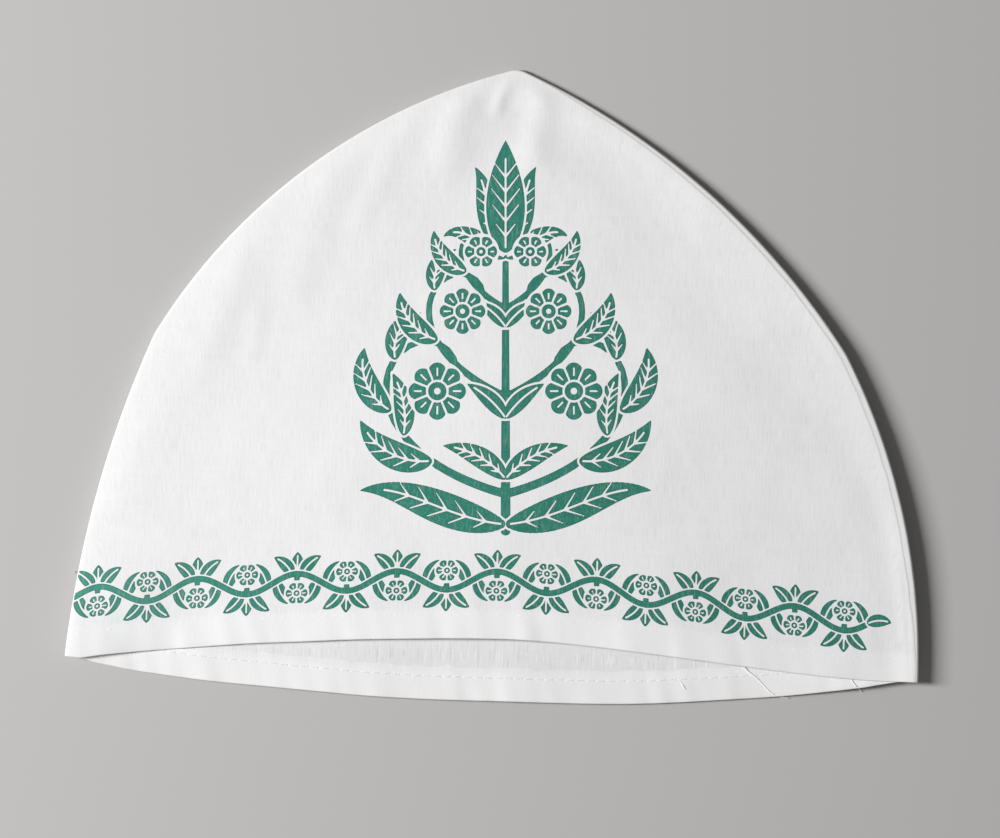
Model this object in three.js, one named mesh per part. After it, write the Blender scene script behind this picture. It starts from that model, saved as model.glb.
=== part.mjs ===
// A skufia of the plainest kind: a soft pointed cap of two flat cloth panels, sewn together
// round the side edges and the point, with the raw edge of the mouth turned up inside as a hem.
// It lies flat on its back panel, as it is stored, with the mouth a little open.
//
// Frame: millimetres, +Z up from the surface it lies on, +X to the right across the mouth,
// +Y from the mouth to the point. The origin is under the middle of the cap's bounding box.
//
// In plan, x runs across and h is the height above the straight line between the two hem corners.

import * as THREE from 'three';

// Driving dimensions
const MOUTH_WIDTH = 288; // between the hem corners, half the round of a 58 cm head
const CROWN_HEIGHT = 203; // from the line of the hem corners to the point
const POINT_SHIFT = 2.9; // the point stands this far right of the middle
const POINT_BLUNTING = 5; // length of each side that the blunt point takes away
const CLOTH = 1; // thickness of each cloth wall
const PLY_GAP = 0.3; // clear space between the panel and its turned-up hem
const SEAM_GAP = 0.4; // clear space between the two panels at the seam
const EDGE_RADIUS = 1.5; // the folded side edges are rounded to this radius
const HEM_DEPTH = 11; // the turned-up strip, from the hem's fold to its top edge
const HEM_END = 10; // the turned-up strips stop this far short of the corners
const BAND = 5; // width of the strip of surface that is laid out along the side edges

const HALF_MOUTH = MOUTH_WIDTH / 2;

// Each side is two arcs that meet at a soft shoulder: the lower one from the hem corner,
// the upper one to the point
const SIDES = {
  left: { shoulderOut: 117.5, shoulderUp: 110, lowerRadius: 326, upperRadius: 199 },
  right: { shoulderOut: 116.4, shoulderUp: 110, lowerRadius: 226, upperRadius: 256 },
};

// How far the seam lies from the middle of the rounded edge, measured round the edge, towards
// the front face. On the left it has rolled to the back, on the right to the front.
const SEAM_ROLL = [
  { height: 0, left: -3.2, right: 2.9 },
  { height: 50, left: -3.4, right: 3.5 },
  { height: 110, left: -3.2, right: 3.3 },
  { height: 170, left: -2.0, right: 2.2 },
  { height: 203, left: 0, right: 0 },
];

// How high the side edges stand off the surface that the cap lies on
const EDGE_LIFT = [
  { height: 0, left: 0.8, right: 4.2 },
  { height: 50, left: 0.8, right: 4.8 },
  { height: 110, left: 0.6, right: 3.8 },
  { height: 170, left: 0.3, right: 1.6 },
  { height: 203, left: 0, right: 0 },
];
const LIFT_REACH = 48; // the back panel is down on the surface this far in from the edge

// The front hem arches up from the corners' line, the back hem hangs below it
const FRONT_HEM = [
  { x: -140, rise: 0 },
  { x: -107, rise: 3.4 },
  { x: -70, rise: 7.0 },
  { x: -40, rise: 9.0 },
  { x: 5, rise: 10.2 },
  { x: 32, rise: 8.8 },
  { x: 64, rise: 6.0 },
  { x: 98, rise: 2.3 },
  { x: 125, rise: 0.2 },
  { x: 140, rise: 0 },
];
const BACK_HEM_DROP = 10.7;

// The front panel's loft above the back one
const BODY_LOFT = 4.2; // over the whole cap
const LEFT_ROUNDING = 9; // the loft is reached within a few of these lengths from the left edge
const RIGHT_ROUNDING = 22; // and more gently from the right edge
const MOUTH_GAPE = 2.8; // more at the middle of the mouth
const GAPE_REACH = 150; // and none of it this far up the cap

// Soft ridges and hollows of the front panel, each along a line from one point to another
const FOLDS = [
  { name: 'left of the point', x: -11, h: 196, toX: -22, toH: 178, width: 4, height: 0.8 },
  { name: 'under the point', x: 1, h: 196, toX: -6, toH: 182, width: 3, height: 0.9 },
  { name: 'right of the point', x: 8, h: 192, toX: 14, toH: 172, width: 6, height: 0.6 },
  { name: 'along the left edge', x: -97, h: 112, toX: -62, toH: 150, width: 9, height: 1.1 },
  { name: 'left hollow', x: -84, h: 95, toX: -45, toH: 140, width: 12, height: -1.0 },
  { name: 'left hem wave', x: -92, h: -4, toX: -88, toH: 26, width: 14, height: 0.6 },
  { name: 'middle hem wave', x: -18, h: 2, toX: -24, toH: 32, width: 16, height: -0.5 },
  { name: 'right hem wave', x: 62, h: 0, toX: 58, toH: 34, width: 17, height: 0.5 },
];

// Number of steps in the meshes
const ROWS = 20; // from the point to the hem
const COLUMNS = 28; // across the panel, between the bands
const BAND_STEPS = 8; // across a band
const HEM_STEPS = 40; // along a turned-up strip

const smooth = (t) => {
  const c = Math.min(Math.max(t, 0), 1);
  return c * c * (3 - 2 * c);
};

// Reads a column of one of the tables above at a place between its rows, on a smooth curve
function fromTable(table, key, at, column) {
  const rows = table.map((row) => new THREE.Vector2(row[key], row[column]));
  if (at <= rows[0].x) return rows[0].y;
  const last = rows.length - 1;
  if (at >= rows[last].x) return rows[last].y;
  const i = rows.findIndex((row) => row.x > at) - 1;
  const slope = (j) => {
    if (j === 0 || j === last) return 0;
    return (rows[j + 1].y - rows[j - 1].y) / (rows[j + 1].x - rows[j - 1].x);
  };
  const span = rows[i + 1].x - rows[i].x;
  const t = (at - rows[i].x) / span;
  const hermite = (2 * t ** 3 - 3 * t ** 2 + 1) * rows[i].y + (3 * t ** 2 - 2 * t ** 3) * rows[i + 1].y;
  return hermite + span * ((t ** 3 - 2 * t ** 2 + t) * slope(i) + (t ** 3 - t ** 2) * slope(i + 1));
}

// A circular arc between two points, bulging to the left of the way from the first to the second
class BulgedArc extends THREE.Curve {
  constructor(from, to, radius) {
    super();
    const half = to.clone().sub(from).multiplyScalar(0.5);
    const away = new THREE.Vector2(half.y, -half.x).normalize();
    const depth = Math.sqrt(radius * radius - half.lengthSq());
    this.radius = radius;
    this.centre = from.clone().add(half).addScaledVector(away, depth);
    this.start = Math.atan2(from.y - this.centre.y, from.x - this.centre.x);
    this.sweep = -2 * Math.asin(half.length() / radius);
  }

  getPoint(t, target = new THREE.Vector2()) {
    const angle = this.start + t * this.sweep;
    return target.set(
      this.centre.x + this.radius * Math.cos(angle),
      this.centre.y + this.radius * Math.sin(angle),
    );
  }

  // The point that lies this length before the arc's end
  before(length) {
    return this.getPoint(1 - length / (this.radius * Math.abs(this.sweep)));
  }

  // The point that lies this length after the arc's start
  after(length) {
    return this.getPoint(length / (this.radius * Math.abs(this.sweep)));
  }
}

// The outline in plan: from the left hem corner up, over the blunt point and down to the right corner
function makeOutline() {
  const { left, right } = SIDES;
  const point = new THREE.Vector2(POINT_SHIFT, CROWN_HEIGHT);
  const leftCorner = new THREE.Vector2(-HALF_MOUTH, 0);
  const rightCorner = new THREE.Vector2(HALF_MOUTH, 0);
  const leftShoulder = new THREE.Vector2(-left.shoulderOut, left.shoulderUp);
  const rightShoulder = new THREE.Vector2(right.shoulderOut, right.shoulderUp);
  const leftUpper = new BulgedArc(leftShoulder, point, left.upperRadius);
  const rightUpper = new BulgedArc(point, rightShoulder, right.upperRadius);
  const bluntFrom = leftUpper.before(POINT_BLUNTING);
  const bluntTo = rightUpper.after(POINT_BLUNTING);
  const path = new THREE.CurvePath();
  path.add(new BulgedArc(leftCorner, leftShoulder, left.lowerRadius));
  path.add(new BulgedArc(leftShoulder, bluntFrom, left.upperRadius));
  path.add(new THREE.QuadraticBezierCurve(bluntFrom, point, bluntTo));
  path.add(new BulgedArc(bluntTo, rightShoulder, right.upperRadius));
  path.add(new BulgedArc(rightShoulder, rightCorner, right.lowerRadius));
  return path;
}

const OUTLINE = makeOutline();
const LENGTHS = OUTLINE.getCurveLengths();
const LEFT_LENGTH = (LENGTHS[1] + LENGTHS[2]) / 2;
const POINT_AT = LEFT_LENGTH / LENGTHS[4]; // where the middle of the point lies along the outline

// A place on the outline: along is -1 at the left corner, 0 at the point and 1 at the right corner
function outlineAt(along) {
  const at = along < 0 ? POINT_AT * (1 + along) : POINT_AT + (1 - POINT_AT) * along;
  const tangent = OUTLINE.getTangentAt(at);
  return { place: OUTLINE.getPointAt(at), inward: new THREE.Vector2(tangent.y, -tangent.x) };
}

const SAMPLES = 160;
const sidePoints = (sign) =>
  Array.from({ length: SAMPLES + 1 }, (_, i) => outlineAt((sign * i) / SAMPLES).place);
const EDGE_POINTS = { left: sidePoints(-1), right: sidePoints(1) };

// Distance in plan from a point to one side of the outline
function distanceTo(side, x, h) {
  const points = EDGE_POINTS[side];
  let nearest = Infinity;
  for (let i = 0; i < SAMPLES; i += 1) {
    const a = points[i];
    const b = points[i + 1];
    const dx = b.x - a.x;
    const dh = b.y - a.y;
    const t = Math.min(Math.max(((x - a.x) * dx + (h - a.y) * dh) / (dx * dx + dh * dh), 0), 1);
    nearest = Math.min(nearest, Math.hypot(x - a.x - t * dx, h - a.y - t * dh));
  }
  return nearest;
}

const hemHeight = {
  front: (x) => fromTable(FRONT_HEM, 'x', x, 'rise'),
  back: (x) => -BACK_HEM_DROP * Math.max(0, 1 - (x / (HALF_MOUTH - BAND)) ** 2),
};

// Height of the side edges' underside, spread into the panel
function liftAt(left, right, h) {
  const leftLift = fromTable(EDGE_LIFT, 'height', h, 'left') * (1 - smooth(left / LIFT_REACH));
  const rightLift = fromTable(EDGE_LIFT, 'height', h, 'right') * (1 - smooth(right / LIFT_REACH));
  return leftLift + rightLift;
}

// Height of a ridge, or depth of a hollow, at a point
function foldAt(fold, x, h) {
  const dx = fold.toX - fold.x;
  const dh = fold.toH - fold.h;
  const length = Math.hypot(dx, dh);
  const along = ((x - fold.x) * dx + (h - fold.h) * dh) / length;
  const across = ((x - fold.x) * dh - (h - fold.h) * dx) / length;
  const past = Math.max(0, -along, along - length);
  return fold.height * Math.exp(-((across / fold.width) ** 2) - (past / (1.5 * fold.width)) ** 2);
}

// How much higher the front panel stands than it would if it lay on the back one
function loftAt(left, right, x, h) {
  const body = BODY_LOFT * (1 - Math.exp(-left / LEFT_ROUNDING)) * (1 - Math.exp(-right / RIGHT_ROUNDING));
  const across = Math.max(0, 1 - (x / HALF_MOUTH) ** 2) ** 0.8;
  const gape = MOUTH_GAPE * across * (1 - smooth(h / GAPE_REACH));
  const room = Math.min(1, Math.min(left, right) / 8);
  const folds = FOLDS.reduce((sum, fold) => sum + foldAt(fold, x, h), 0);
  return body + gape + folds * room;
}

// The outer surface at a point in plan, on the front or the back face
function surfacePoint(face, x, h) {
  const left = distanceTo('left', x, h);
  const right = distanceTo('right', x, h);
  const inside = Math.min(left, right, EDGE_RADIUS) / EDGE_RADIUS;
  const roll = EDGE_RADIUS * Math.sqrt(1 - (1 - inside) ** 2);
  const lift = liftAt(left, right, h);
  const z = face === 'front'
    ? lift + EDGE_RADIUS + roll + loftAt(left, right, x, h)
    : lift + EDGE_RADIUS - roll;
  return new THREE.Vector3(x, h, z);
}

const QUARTER_ROUND = (EDGE_RADIUS * Math.PI) / 2;

// A point near the edge, at a length round it from its middle, towards the front face
function edgePoint(along, round) {
  const { place, inward } = outlineAt(along);
  const length = Math.abs(round);
  const depth = length < QUARTER_ROUND
    ? EDGE_RADIUS * (1 - Math.cos(length / EDGE_RADIUS))
    : EDGE_RADIUS + length - QUARTER_ROUND;
  const spot = place.addScaledVector(inward, depth);
  return surfacePoint(round < 0 ? 'back' : 'front', spot.x, spot.y);
}

const BAND_ROUND = QUARTER_ROUND + BAND - EDGE_RADIUS;
const NUDGE = 0.02; // the step, in millimetres, that slopes are taken over

// A place on the surface is a point and the direction straight out of the cloth there.
// This one is found from its place in plan.
function facePlace(face, x, h) {
  const z = (dx, dh) => surfacePoint(face, x + dx, h + dh).z;
  const outward = new THREE.Vector3(
    z(-NUDGE, 0) - z(NUDGE, 0),
    z(0, -NUDGE) - z(0, NUDGE),
    2 * NUDGE,
  );
  if (face === 'back') outward.negate();
  return { point: surfacePoint(face, x, h), outward: outward.normalize() };
}

// And this one from its place along the outline and round the edge
function edgePlace(along, round) {
  const step = NUDGE / LEFT_LENGTH;
  const clamped = (value) => Math.min(Math.max(value, -1), 1);
  const onward = edgePoint(clamped(along + step), round).sub(edgePoint(clamped(along - step), round));
  const roundIt = edgePoint(along, round + NUDGE).sub(edgePoint(along, round - NUDGE));
  return { point: edgePoint(along, round), outward: roundIt.cross(onward).normalize() };
}

// A sheet is a list of points, the way out of the cloth at each, and the triangles between them
class Sheet {
  constructor() {
    this.points = [];
    this.outwards = [];
    this.triangles = [];
  }

  addPlace({ point, outward }) {
    this.outwards.push(outward);
    return this.points.push(point) - 1;
  }

  // Joins neighbouring rows of point numbers with triangles
  addGrid(rows) {
    for (let i = 0; i + 1 < rows.length; i += 1) {
      for (let j = 0; j + 1 < rows[i].length; j += 1) {
        this.addTriangle(rows[i][j], rows[i + 1][j], rows[i][j + 1]);
        this.addTriangle(rows[i][j + 1], rows[i + 1][j], rows[i + 1][j + 1]);
      }
    }
  }

  addTriangle(a, b, c) {
    if (a !== b && b !== c && c !== a) this.triangles.push([a, b, c]);
  }

  flip() {
    this.triangles = this.triangles.map(([a, b, c]) => [a, c, b]);
    return this;
  }

  // The closed solid between two depths under the sheet
  toSolid(depth, thickness) {
    const solid = new Sheet();
    const count = this.points.length;
    for (const under of [depth, depth + thickness]) {
      this.points.forEach((point, i) => {
        solid.points.push(point.clone().addScaledVector(this.outwards[i], -under));
      });
    }
    const borders = new Map();
    for (const [a, b, c] of this.triangles) {
      solid.addTriangle(a, b, c);
      solid.addTriangle(a + count, c + count, b + count);
      for (const [from, to] of [[a, b], [b, c], [c, a]]) {
        if (!borders.delete(`${to} ${from}`)) borders.set(`${from} ${to}`, [from, to]);
      }
    }
    for (const [from, to] of borders.values()) {
      solid.addTriangle(from, from + count, to);
      solid.addTriangle(to, from + count, to + count);
    }
    const geometry = new THREE.BufferGeometry();
    const numbers = solid.points.flatMap((point) => point.toArray());
    geometry.setAttribute('position', new THREE.Float32BufferAttribute(numbers, 3));
    geometry.setIndex(solid.triangles.flat());
    geometry.computeVertexNormals();
    return geometry;
  }
}

// One panel's outer surface: a band along the whole side edge, from the seam inwards, and
// inside it a patch whose columns run from the point to the hem
function panelSheet(face) {
  const sheet = new Sheet();
  const towards = face === 'front' ? 1 : -1;
  const rowPlace = (row) => (row / ROWS) ** 1.2;

  // The band, as rows of points from the seam to its inner line, keyed by row and side
  const bandRow = (along) => {
    const { place } = outlineAt(along);
    const side = along < 0 ? 'left' : 'right';
    const seam = along === 0 ? 0 : fromTable(SEAM_ROLL, 'height', place.y, side);
    const from = seam + (towards * SEAM_GAP) / 2;
    const to = towards * BAND_ROUND;
    return Array.from({ length: BAND_STEPS + 1 }, (_, i) => {
      const round = from + ((to - from) * i) / BAND_STEPS;
      return sheet.addPlace(edgePlace(along, round));
    });
  };
  const leftBand = Array.from({ length: ROWS }, (_, i) => bandRow(-rowPlace(ROWS - i)));
  const pointBand = bandRow(0);
  const rightBand = Array.from({ length: ROWS }, (_, i) => bandRow(rowPlace(i + 1)));
  sheet.addGrid([...leftBand, pointBand, ...rightBand].reverse());

  // The patch inside the band: straight rays from the point to the hem, bent near the sides so
  // that the outermost ones follow the band
  const inPlan = (index) => new THREE.Vector2(sheet.points[index].x, sheet.points[index].y);
  const inner = (row, side) => {
    if (row === 0) return pointBand[BAND_STEPS];
    return side === 'left' ? leftBand[ROWS - row][BAND_STEPS] : rightBand[row - 1][BAND_STEPS];
  };
  const top = inPlan(inner(0));
  const hemFrom = inPlan(inner(ROWS, 'left'));
  const hemTo = inPlan(inner(ROWS, 'right'));
  const hemPoint = (u) => {
    const x = hemFrom.x + (hemTo.x - hemFrom.x) * u;
    const corner = hemFrom.y + (hemTo.y - hemFrom.y) * u;
    return new THREE.Vector2(x, corner + hemHeight[face](x));
  };
  const rows = [Array(COLUMNS + 1).fill(inner(0))];
  for (let row = 1; row <= ROWS; row += 1) {
    const w = rowPlace(row);
    const bend = (side, end) =>
      inPlan(inner(row, side)).sub(top.clone().lerp(hemPoint(end), w));
    const leftBend = bend('left', 0);
    const rightBend = bend('right', 1);
    const line = [inner(row, 'left')];
    for (let column = 1; column < COLUMNS; column += 1) {
      const u = column / COLUMNS;
      const spot = top.clone().lerp(hemPoint(u), w);
      spot.addScaledVector(leftBend, (1 - u) ** 2.5);
      spot.addScaledVector(rightBend, u ** 2.5);
      line.push(sheet.addPlace(facePlace(face, spot.x, spot.y)));
    }
    line.push(inner(row, 'right'));
    rows.push(line);
  }
  sheet.addGrid(rows);
  return face === 'front' ? sheet : sheet.flip();
}

// The part of a panel's outer surface that the turned-up strip lies behind
function hemSheet(face) {
  const sheet = new Sheet();
  const end = HALF_MOUTH - HEM_END;
  const rows = [HEM_DEPTH, HEM_DEPTH / 2, 0].map((up) =>
    Array.from({ length: HEM_STEPS + 1 }, (_, i) => {
      const x = -end + (2 * end * i) / HEM_STEPS;
      return sheet.addPlace(facePlace(face, x, hemHeight[face](x) + up));
    }));
  sheet.addGrid(rows);
  return face === 'front' ? sheet : sheet.flip();
}

const panelCloth = new THREE.MeshStandardMaterial({ color: 0xf0f0ee, roughness: 0.92, metalness: 0 });
const backCloth = new THREE.MeshStandardMaterial({ color: 0xececea, roughness: 0.92, metalness: 0 });
const hemCloth = new THREE.MeshStandardMaterial({ color: 0xf4f4f2, roughness: 0.92, metalness: 0 });

function named(name, geometry, material) {
  const mesh = new THREE.Mesh(geometry, material);
  mesh.name = name;
  return mesh;
}

const cap = new THREE.Group();
const hemPly = CLOTH + PLY_GAP;
cap.add(named('front_panel', panelSheet('front').toSolid(0, CLOTH), panelCloth));
cap.add(named('back_panel', panelSheet('back').toSolid(0, CLOTH), backCloth));
cap.add(named('front_hem', hemSheet('front').toSolid(hemPly, CLOTH), hemCloth));
cap.add(named('back_hem', hemSheet('back').toSolid(hemPly, CLOTH), hemCloth));

const tip = outlineAt(0).place.y;
cap.position.y = -(tip - BACK_HEM_DROP) / 2;

export default cap;
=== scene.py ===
# %% [markdown]
# # A cotton skufia, lying flat
#
# A skufia is a soft pointed cap. This one is the plainest kind: two cotton panels, sewn together
# round the side edges and the point, with the raw edge of the mouth turned up inside and
# stitched. The front panel carries a print in green ink.
#
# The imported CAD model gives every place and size. The cells below make what a solid can't show:
# thin cloth with a rounded hem, the groove of the side seam, the stitches, the print, and a
# finish for each. Lengths are in millimetres until a mesh is made, as on a sewing pattern.

# %% Load the frame
import math

import bpy
import numpy as np
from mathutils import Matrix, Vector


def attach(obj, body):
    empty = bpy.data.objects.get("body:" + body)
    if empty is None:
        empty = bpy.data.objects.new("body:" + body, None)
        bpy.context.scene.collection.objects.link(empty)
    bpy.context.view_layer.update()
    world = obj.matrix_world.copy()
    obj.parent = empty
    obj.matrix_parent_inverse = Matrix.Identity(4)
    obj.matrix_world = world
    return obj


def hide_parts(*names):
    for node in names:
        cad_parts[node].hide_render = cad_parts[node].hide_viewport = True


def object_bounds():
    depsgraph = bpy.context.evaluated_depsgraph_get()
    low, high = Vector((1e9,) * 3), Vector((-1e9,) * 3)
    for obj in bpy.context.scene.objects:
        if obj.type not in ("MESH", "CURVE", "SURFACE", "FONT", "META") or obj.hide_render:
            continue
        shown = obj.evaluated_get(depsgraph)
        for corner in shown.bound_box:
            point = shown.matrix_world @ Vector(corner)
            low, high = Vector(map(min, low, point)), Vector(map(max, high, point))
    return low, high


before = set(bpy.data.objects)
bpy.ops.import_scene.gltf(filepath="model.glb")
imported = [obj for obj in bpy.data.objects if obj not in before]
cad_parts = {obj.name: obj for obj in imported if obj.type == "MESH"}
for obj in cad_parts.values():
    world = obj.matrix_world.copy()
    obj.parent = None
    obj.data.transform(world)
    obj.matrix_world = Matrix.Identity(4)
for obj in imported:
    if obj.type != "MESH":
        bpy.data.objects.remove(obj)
cad_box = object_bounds()
print("CAD box in mm:", [round(1000 * value, 1) for corner in cad_box for value in corner])

# %% [markdown]
# ## The outline of the cap
#
# Seen from above, each side of the cap is two arcs that meet at a soft shoulder, and the point is
# a little blunt. The outline could be drawn as a Blender curve, but the cloth has to know how far
# any spot lies from each side, so it is worked out as rows of numbers. The measures are those of
# the CAD model, so the cloth fits it, but the left side bulges half a millimetre less, and the
# point is sharper, as thin cloth folds. x runs across, and h is the height above the straight
# line between the hem corners.

# %% Measures of the two panels
HALF_MOUTH = 144.0
CROWN_HEIGHT = 203.0
POINT_SHIFT = 2.9
POINT_BLUNTING = 2.6
SIDES = {  # shoulder's x and h, then the radius of the lower and of the upper arc
    "left": (-117.2, 110.0, 358.0, 200.0),
    "right": (116.4, 110.0, 226.0, 256.0),
}
ARC_STEPS, BLUNT_STEPS, SIDE_STEPS = 400, 80, 160
BACK_HEM_DROP = 10.7
CORNERS_Y = 1000 * cad_box[0].y + BACK_HEM_DROP  # the corners' line, in the frame's y

# %% Draw the outline and measure along it


def bulged_arc(start, end, radius):
    """Points of an arc that bulges to the left of the way from start to end."""
    start, end = np.array(start, float), np.array(end, float)
    half = (end - start) / 2
    length = np.hypot(*half)
    away = np.array([half[1], -half[0]]) / length
    centre = start + half + away * math.sqrt(radius**2 - length**2)
    first = math.atan2(start[1] - centre[1], start[0] - centre[0])
    angle = first - 2 * math.asin(length / radius) * np.linspace(0, 1, ARC_STEPS + 1)
    return centre + radius * np.column_stack([np.cos(angle), np.sin(angle)])


def length_along(points):
    steps = np.hypot(*np.diff(points, axis=0).T)
    return np.concatenate([[0], np.cumsum(steps)])


def read_rows(at, keys, rows):
    """Reads between rows of numbers that are known at rising keys."""
    return np.stack([np.interp(at, keys, column) for column in rows.T], -1)


def point_at_length(points, length):
    return read_rows(length, length_along(points), points)


def draw_outline():
    """The whole outline from the left corner over the point, and the point's place along it."""
    point = np.array([POINT_SHIFT, CROWN_HEIGHT])
    *left, left_low, left_up = SIDES["left"]
    *right, right_low, right_up = SIDES["right"]
    left_upper, right_upper = bulged_arc(left, point, left_up), bulged_arc(point, right, right_up)
    left_end = length_along(left_upper)[-1] - POINT_BLUNTING
    blunt_from = point_at_length(left_upper, left_end)
    blunt_to = point_at_length(right_upper, POINT_BLUNTING)
    t = np.linspace(0, 1, BLUNT_STEPS + 1)[:, None]
    blunt = (1 - t) ** 2 * blunt_from + 2 * t * (1 - t) * point + t**2 * blunt_to
    whole = np.vstack([
        bulged_arc((-HALF_MOUTH, 0), left, left_low)[:-1], bulged_arc(left, blunt_from, left_up)[:-1],
        blunt,
        bulged_arc(blunt_to, right, right_up)[1:], bulged_arc(right, (HALF_MOUTH, 0), right_low)[1:],
    ])
    run = length_along(whole)
    blunt_start = 2 * ARC_STEPS
    return whole, run, (run[blunt_start] + run[blunt_start + BLUNT_STEPS]) / 2


OUTLINE, OUTLINE_RUN, POINT_RUN = draw_outline()


def outline_at(along, reach=0.3):
    """Places on the outline and the way in: along is -1 and 1 at the corners, 0 at the point."""
    run = POINT_RUN + along * np.where(along < 0, POINT_RUN, OUTLINE_RUN[-1] - POINT_RUN)
    place, after, before = (read_rows(run + step, OUTLINE_RUN, OUTLINE) for step in (0, reach, -reach))
    tangent = (after - before) / np.linalg.norm(after - before, axis=-1, keepdims=True)
    return place, np.stack([tangent[..., 1], -tangent[..., 0]], -1)


EDGE_POINTS = {
    side: outline_at(way * np.linspace(0, 1, SIDE_STEPS + 1))[0]
    for side, way in (("left", -1), ("right", 1))
}


def from_segment(x, y, a, b):
    """Distance of each spot from the straight line a to b, and the share of it at the nearest place."""
    d = b - a
    t = np.clip(((x - a[0]) * d[0] + (y - a[1]) * d[1]) / (d @ d), 0, 1)
    return np.hypot(x - a[0] - t * d[0], y - a[1] - t * d[1]), t


def distance_to(side, x, h):
    """Distance in plan from each spot to one side of the outline."""
    nearest = np.full(np.shape(x), np.inf)
    points = EDGE_POINTS[side]
    for a, b in zip(points[:-1], points[1:]):
        nearest = np.minimum(nearest, from_segment(x, h, a, b)[0])
    return nearest


print("outline", round(OUTLINE_RUN[-1], 1), "mm long; point after", round(POINT_RUN, 1), "mm")

# %% [markdown]
# ## How the panels lie
#
# The back panel lies on the surface and the front one on the air that is left in the cap, so the
# front rises from rounded side edges to a soft loft, and sinks a little again towards the mouth,
# which stands just open. A cloth simulation could find such a shape, but this cap has been
# pressed flat and keeps a few folds of its own. They are easier to place where they belong by
# adding up plain functions, which give the height of the cloth at any x and h.

# %% Tables: the seam's roll and the edges' lift by h, the hems by x
SEAM_ROLL = {  # how far round the edge the seam has rolled: towards the front is positive
    "left": [(0, -3.2), (50, -3.4), (110, -3.2), (170, -2.0), (203, 0.0)],
    "right": [(0, 2.1), (15, 2.5), (35, 3.4), (110, 3.4), (170, 2.8), (195, 2.0), (203, 0.0)],
}
EDGE_LIFT = {  # how high the edges stand off the surface under the cap
    "left": [(0, 0.8), (50, 0.8), (110, 0.6), (170, 0.3), (203, 0.0)],
    "right": [(0, 4.2), (50, 4.8), (110, 3.8), (170, 1.6), (203, 0.0)],
}
HEMS = {  # the h of each hem's fold, by x
    "front": [
        (-141, 0.2), (-131, 1.5), (-118, 3.0), (-107, 4.1), (-84, 6.4), (-70, 7.35), (-40, 9.25),
        (5, 10.5), (32, 9.0), (64, 5.9), (98, 2.3), (125, 0.2), (140, 0.0),
    ],
    "back": [
        (-139.2, 0.0), (-134.5, -1.4), (-128, -2.6), (-121, -3.8), (-107.5, -5.4), (-94, -6.75),
        (-80, -7.7), (-57, -9.2), (-40, -10.2), (-20, -10.7), (5, -10.7), (30, -10.7),
        (45, -10.4), (58, -9.7), (78, -8.05), (99, -6.1), (116, -3.85), (126, -2.3),
        (133, -0.9), (139, 0.0),
    ],
}

# %% Numbers of the soft form
LIFT_REACH = 68.0  # how far in the sides' lift can be felt
CORNER_LIFT, CORNER_REACH = 3.0, 17.0  # the left corner of the mouth stands up more,
CORNER_DROP, DROP_REACH = 0.7, 14.0  # of which the back loses this share, this far in
SEAM_FALL, FALL_WIDTH = 0.12, 2.4  # the cloth falls off to the seam where the right edge is high
HIGH_EDGE = 1.5  # an edge counts as high from here on
EDGE_HEIGHT = 1.2  # half the thickness at the sides
EDGE_WIDTH = 0.75  # how far in from the outline the pressed edge has turned level
BAND = 5.0  # width of the strip of cloth that is laid out along the side edges
EASE = 8.0  # how far in folds and waves reach their full height
LEFT_ROUNDING = [(0, 8.5), (60, 8.5), (110, 6.5), (160, 5.5), (203, 5.0)]
LEFT_STEEPNESS = 0.17  # the front rises soon by this much of the rounding, and then
BODY_LOFT, SLOPE_START, SLOPE_END = 3.6, 22.0, 142.0  # slowly by the loft
RIGHT_ROUNDING, RIGHT_FULLNESS = 44.0, 1.5  # how far in from the right edge it is reached
SEAM_HOLLOW = [  # beside the stiff right seam: h, distance in, depth
    (0, 9.0, 0.20), (60, 9.5, 0.25), (85, 15.0, 0.25), (106, 26.0, 0.50), (123, 28.0, 0.90),
    (140, 23.0, 0.95), (157, 17.0, 0.85), (185, 12.0, 0.60), (203, 8.0, 0.00),
]
MOUTH_DROOP, DROOP_REACH = 1.6, 60.0  # the front sinks a little towards the mouth
BACK_RISE, RISE_REACH, RISE_LEAN = 1.2, 45.0, 0.45  # and the back rises, more at the left
MOUTH_ROUNDNESS = 0.8  # both fade towards the corners: the smaller this is, the later
BACK_BASE, BACK_WAVE, BACK_WAVES = 0.2, 0.16, (22, 60, 1)  # heights; shortest, longest, seed
FRONT_WAVE, FRONT_WAVES = 0.13, (24, 70, 2)
STREAK_WAVE, STREAK_WAVES = 0.018, (5, 14, 7, 16)  # fine waves,
STREAK_STRETCH = 0.45  # drawn out up the cloth

# %% Folds and creases
FOLDS = [  # from x and h, to x and h, half width, height
    (-15.6, 193.6, -19.4, 174.9, 6.5, 0.75),
    (-0.9, 199.8, -3.6, 190.3, 2.7, 0.5),
    (11.2, 193.4, 9.4, 175.8, 5.5, 0.75),
    (-59.9, 161.8, -69.0, 129.4, 6, 0.32),
    (-34.8, 181.2, -46.2, 155.5, 5.5, 0.3),
    (-88.9, 136.2, -99.1, 104.8, 6, 0.33),
    (-82.2, 116.1, -83.8, 104.5, 3, 0.2),
    (-118, -4, -117, 16, 9, 0.34),
    (-87, -4, -83, 26, 13, 0.4),
    (-18, 2, -24, 32, 16, -0.5),
    (62, 0, 58, 34, 17, 0.2),
]
EDGE_CREASES = [  # beside the right seam: distance in, half width, height, lowest and highest h
    (3.4, 0.7, -0.035, 4, 26),
    (4.9, 0.8, 0.04, 10, 46),
    (6.9, 1.0, -0.04, 18, 54),
]
CREASE_FADE = 8.0  # how soon they end,
FOLD_FADE = 1.5  # and how soon a fold does, in half widths
HOLLOW_WIDTH = 0.6  # of its distance in
print(len(FOLDS), "folds and", len(EDGE_CREASES), "creases")

# %% Read the tables on smooth curves


def smooth(t):
    t = np.clip(t, 0, 1)
    return t * t * (3 - 2 * t)


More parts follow.
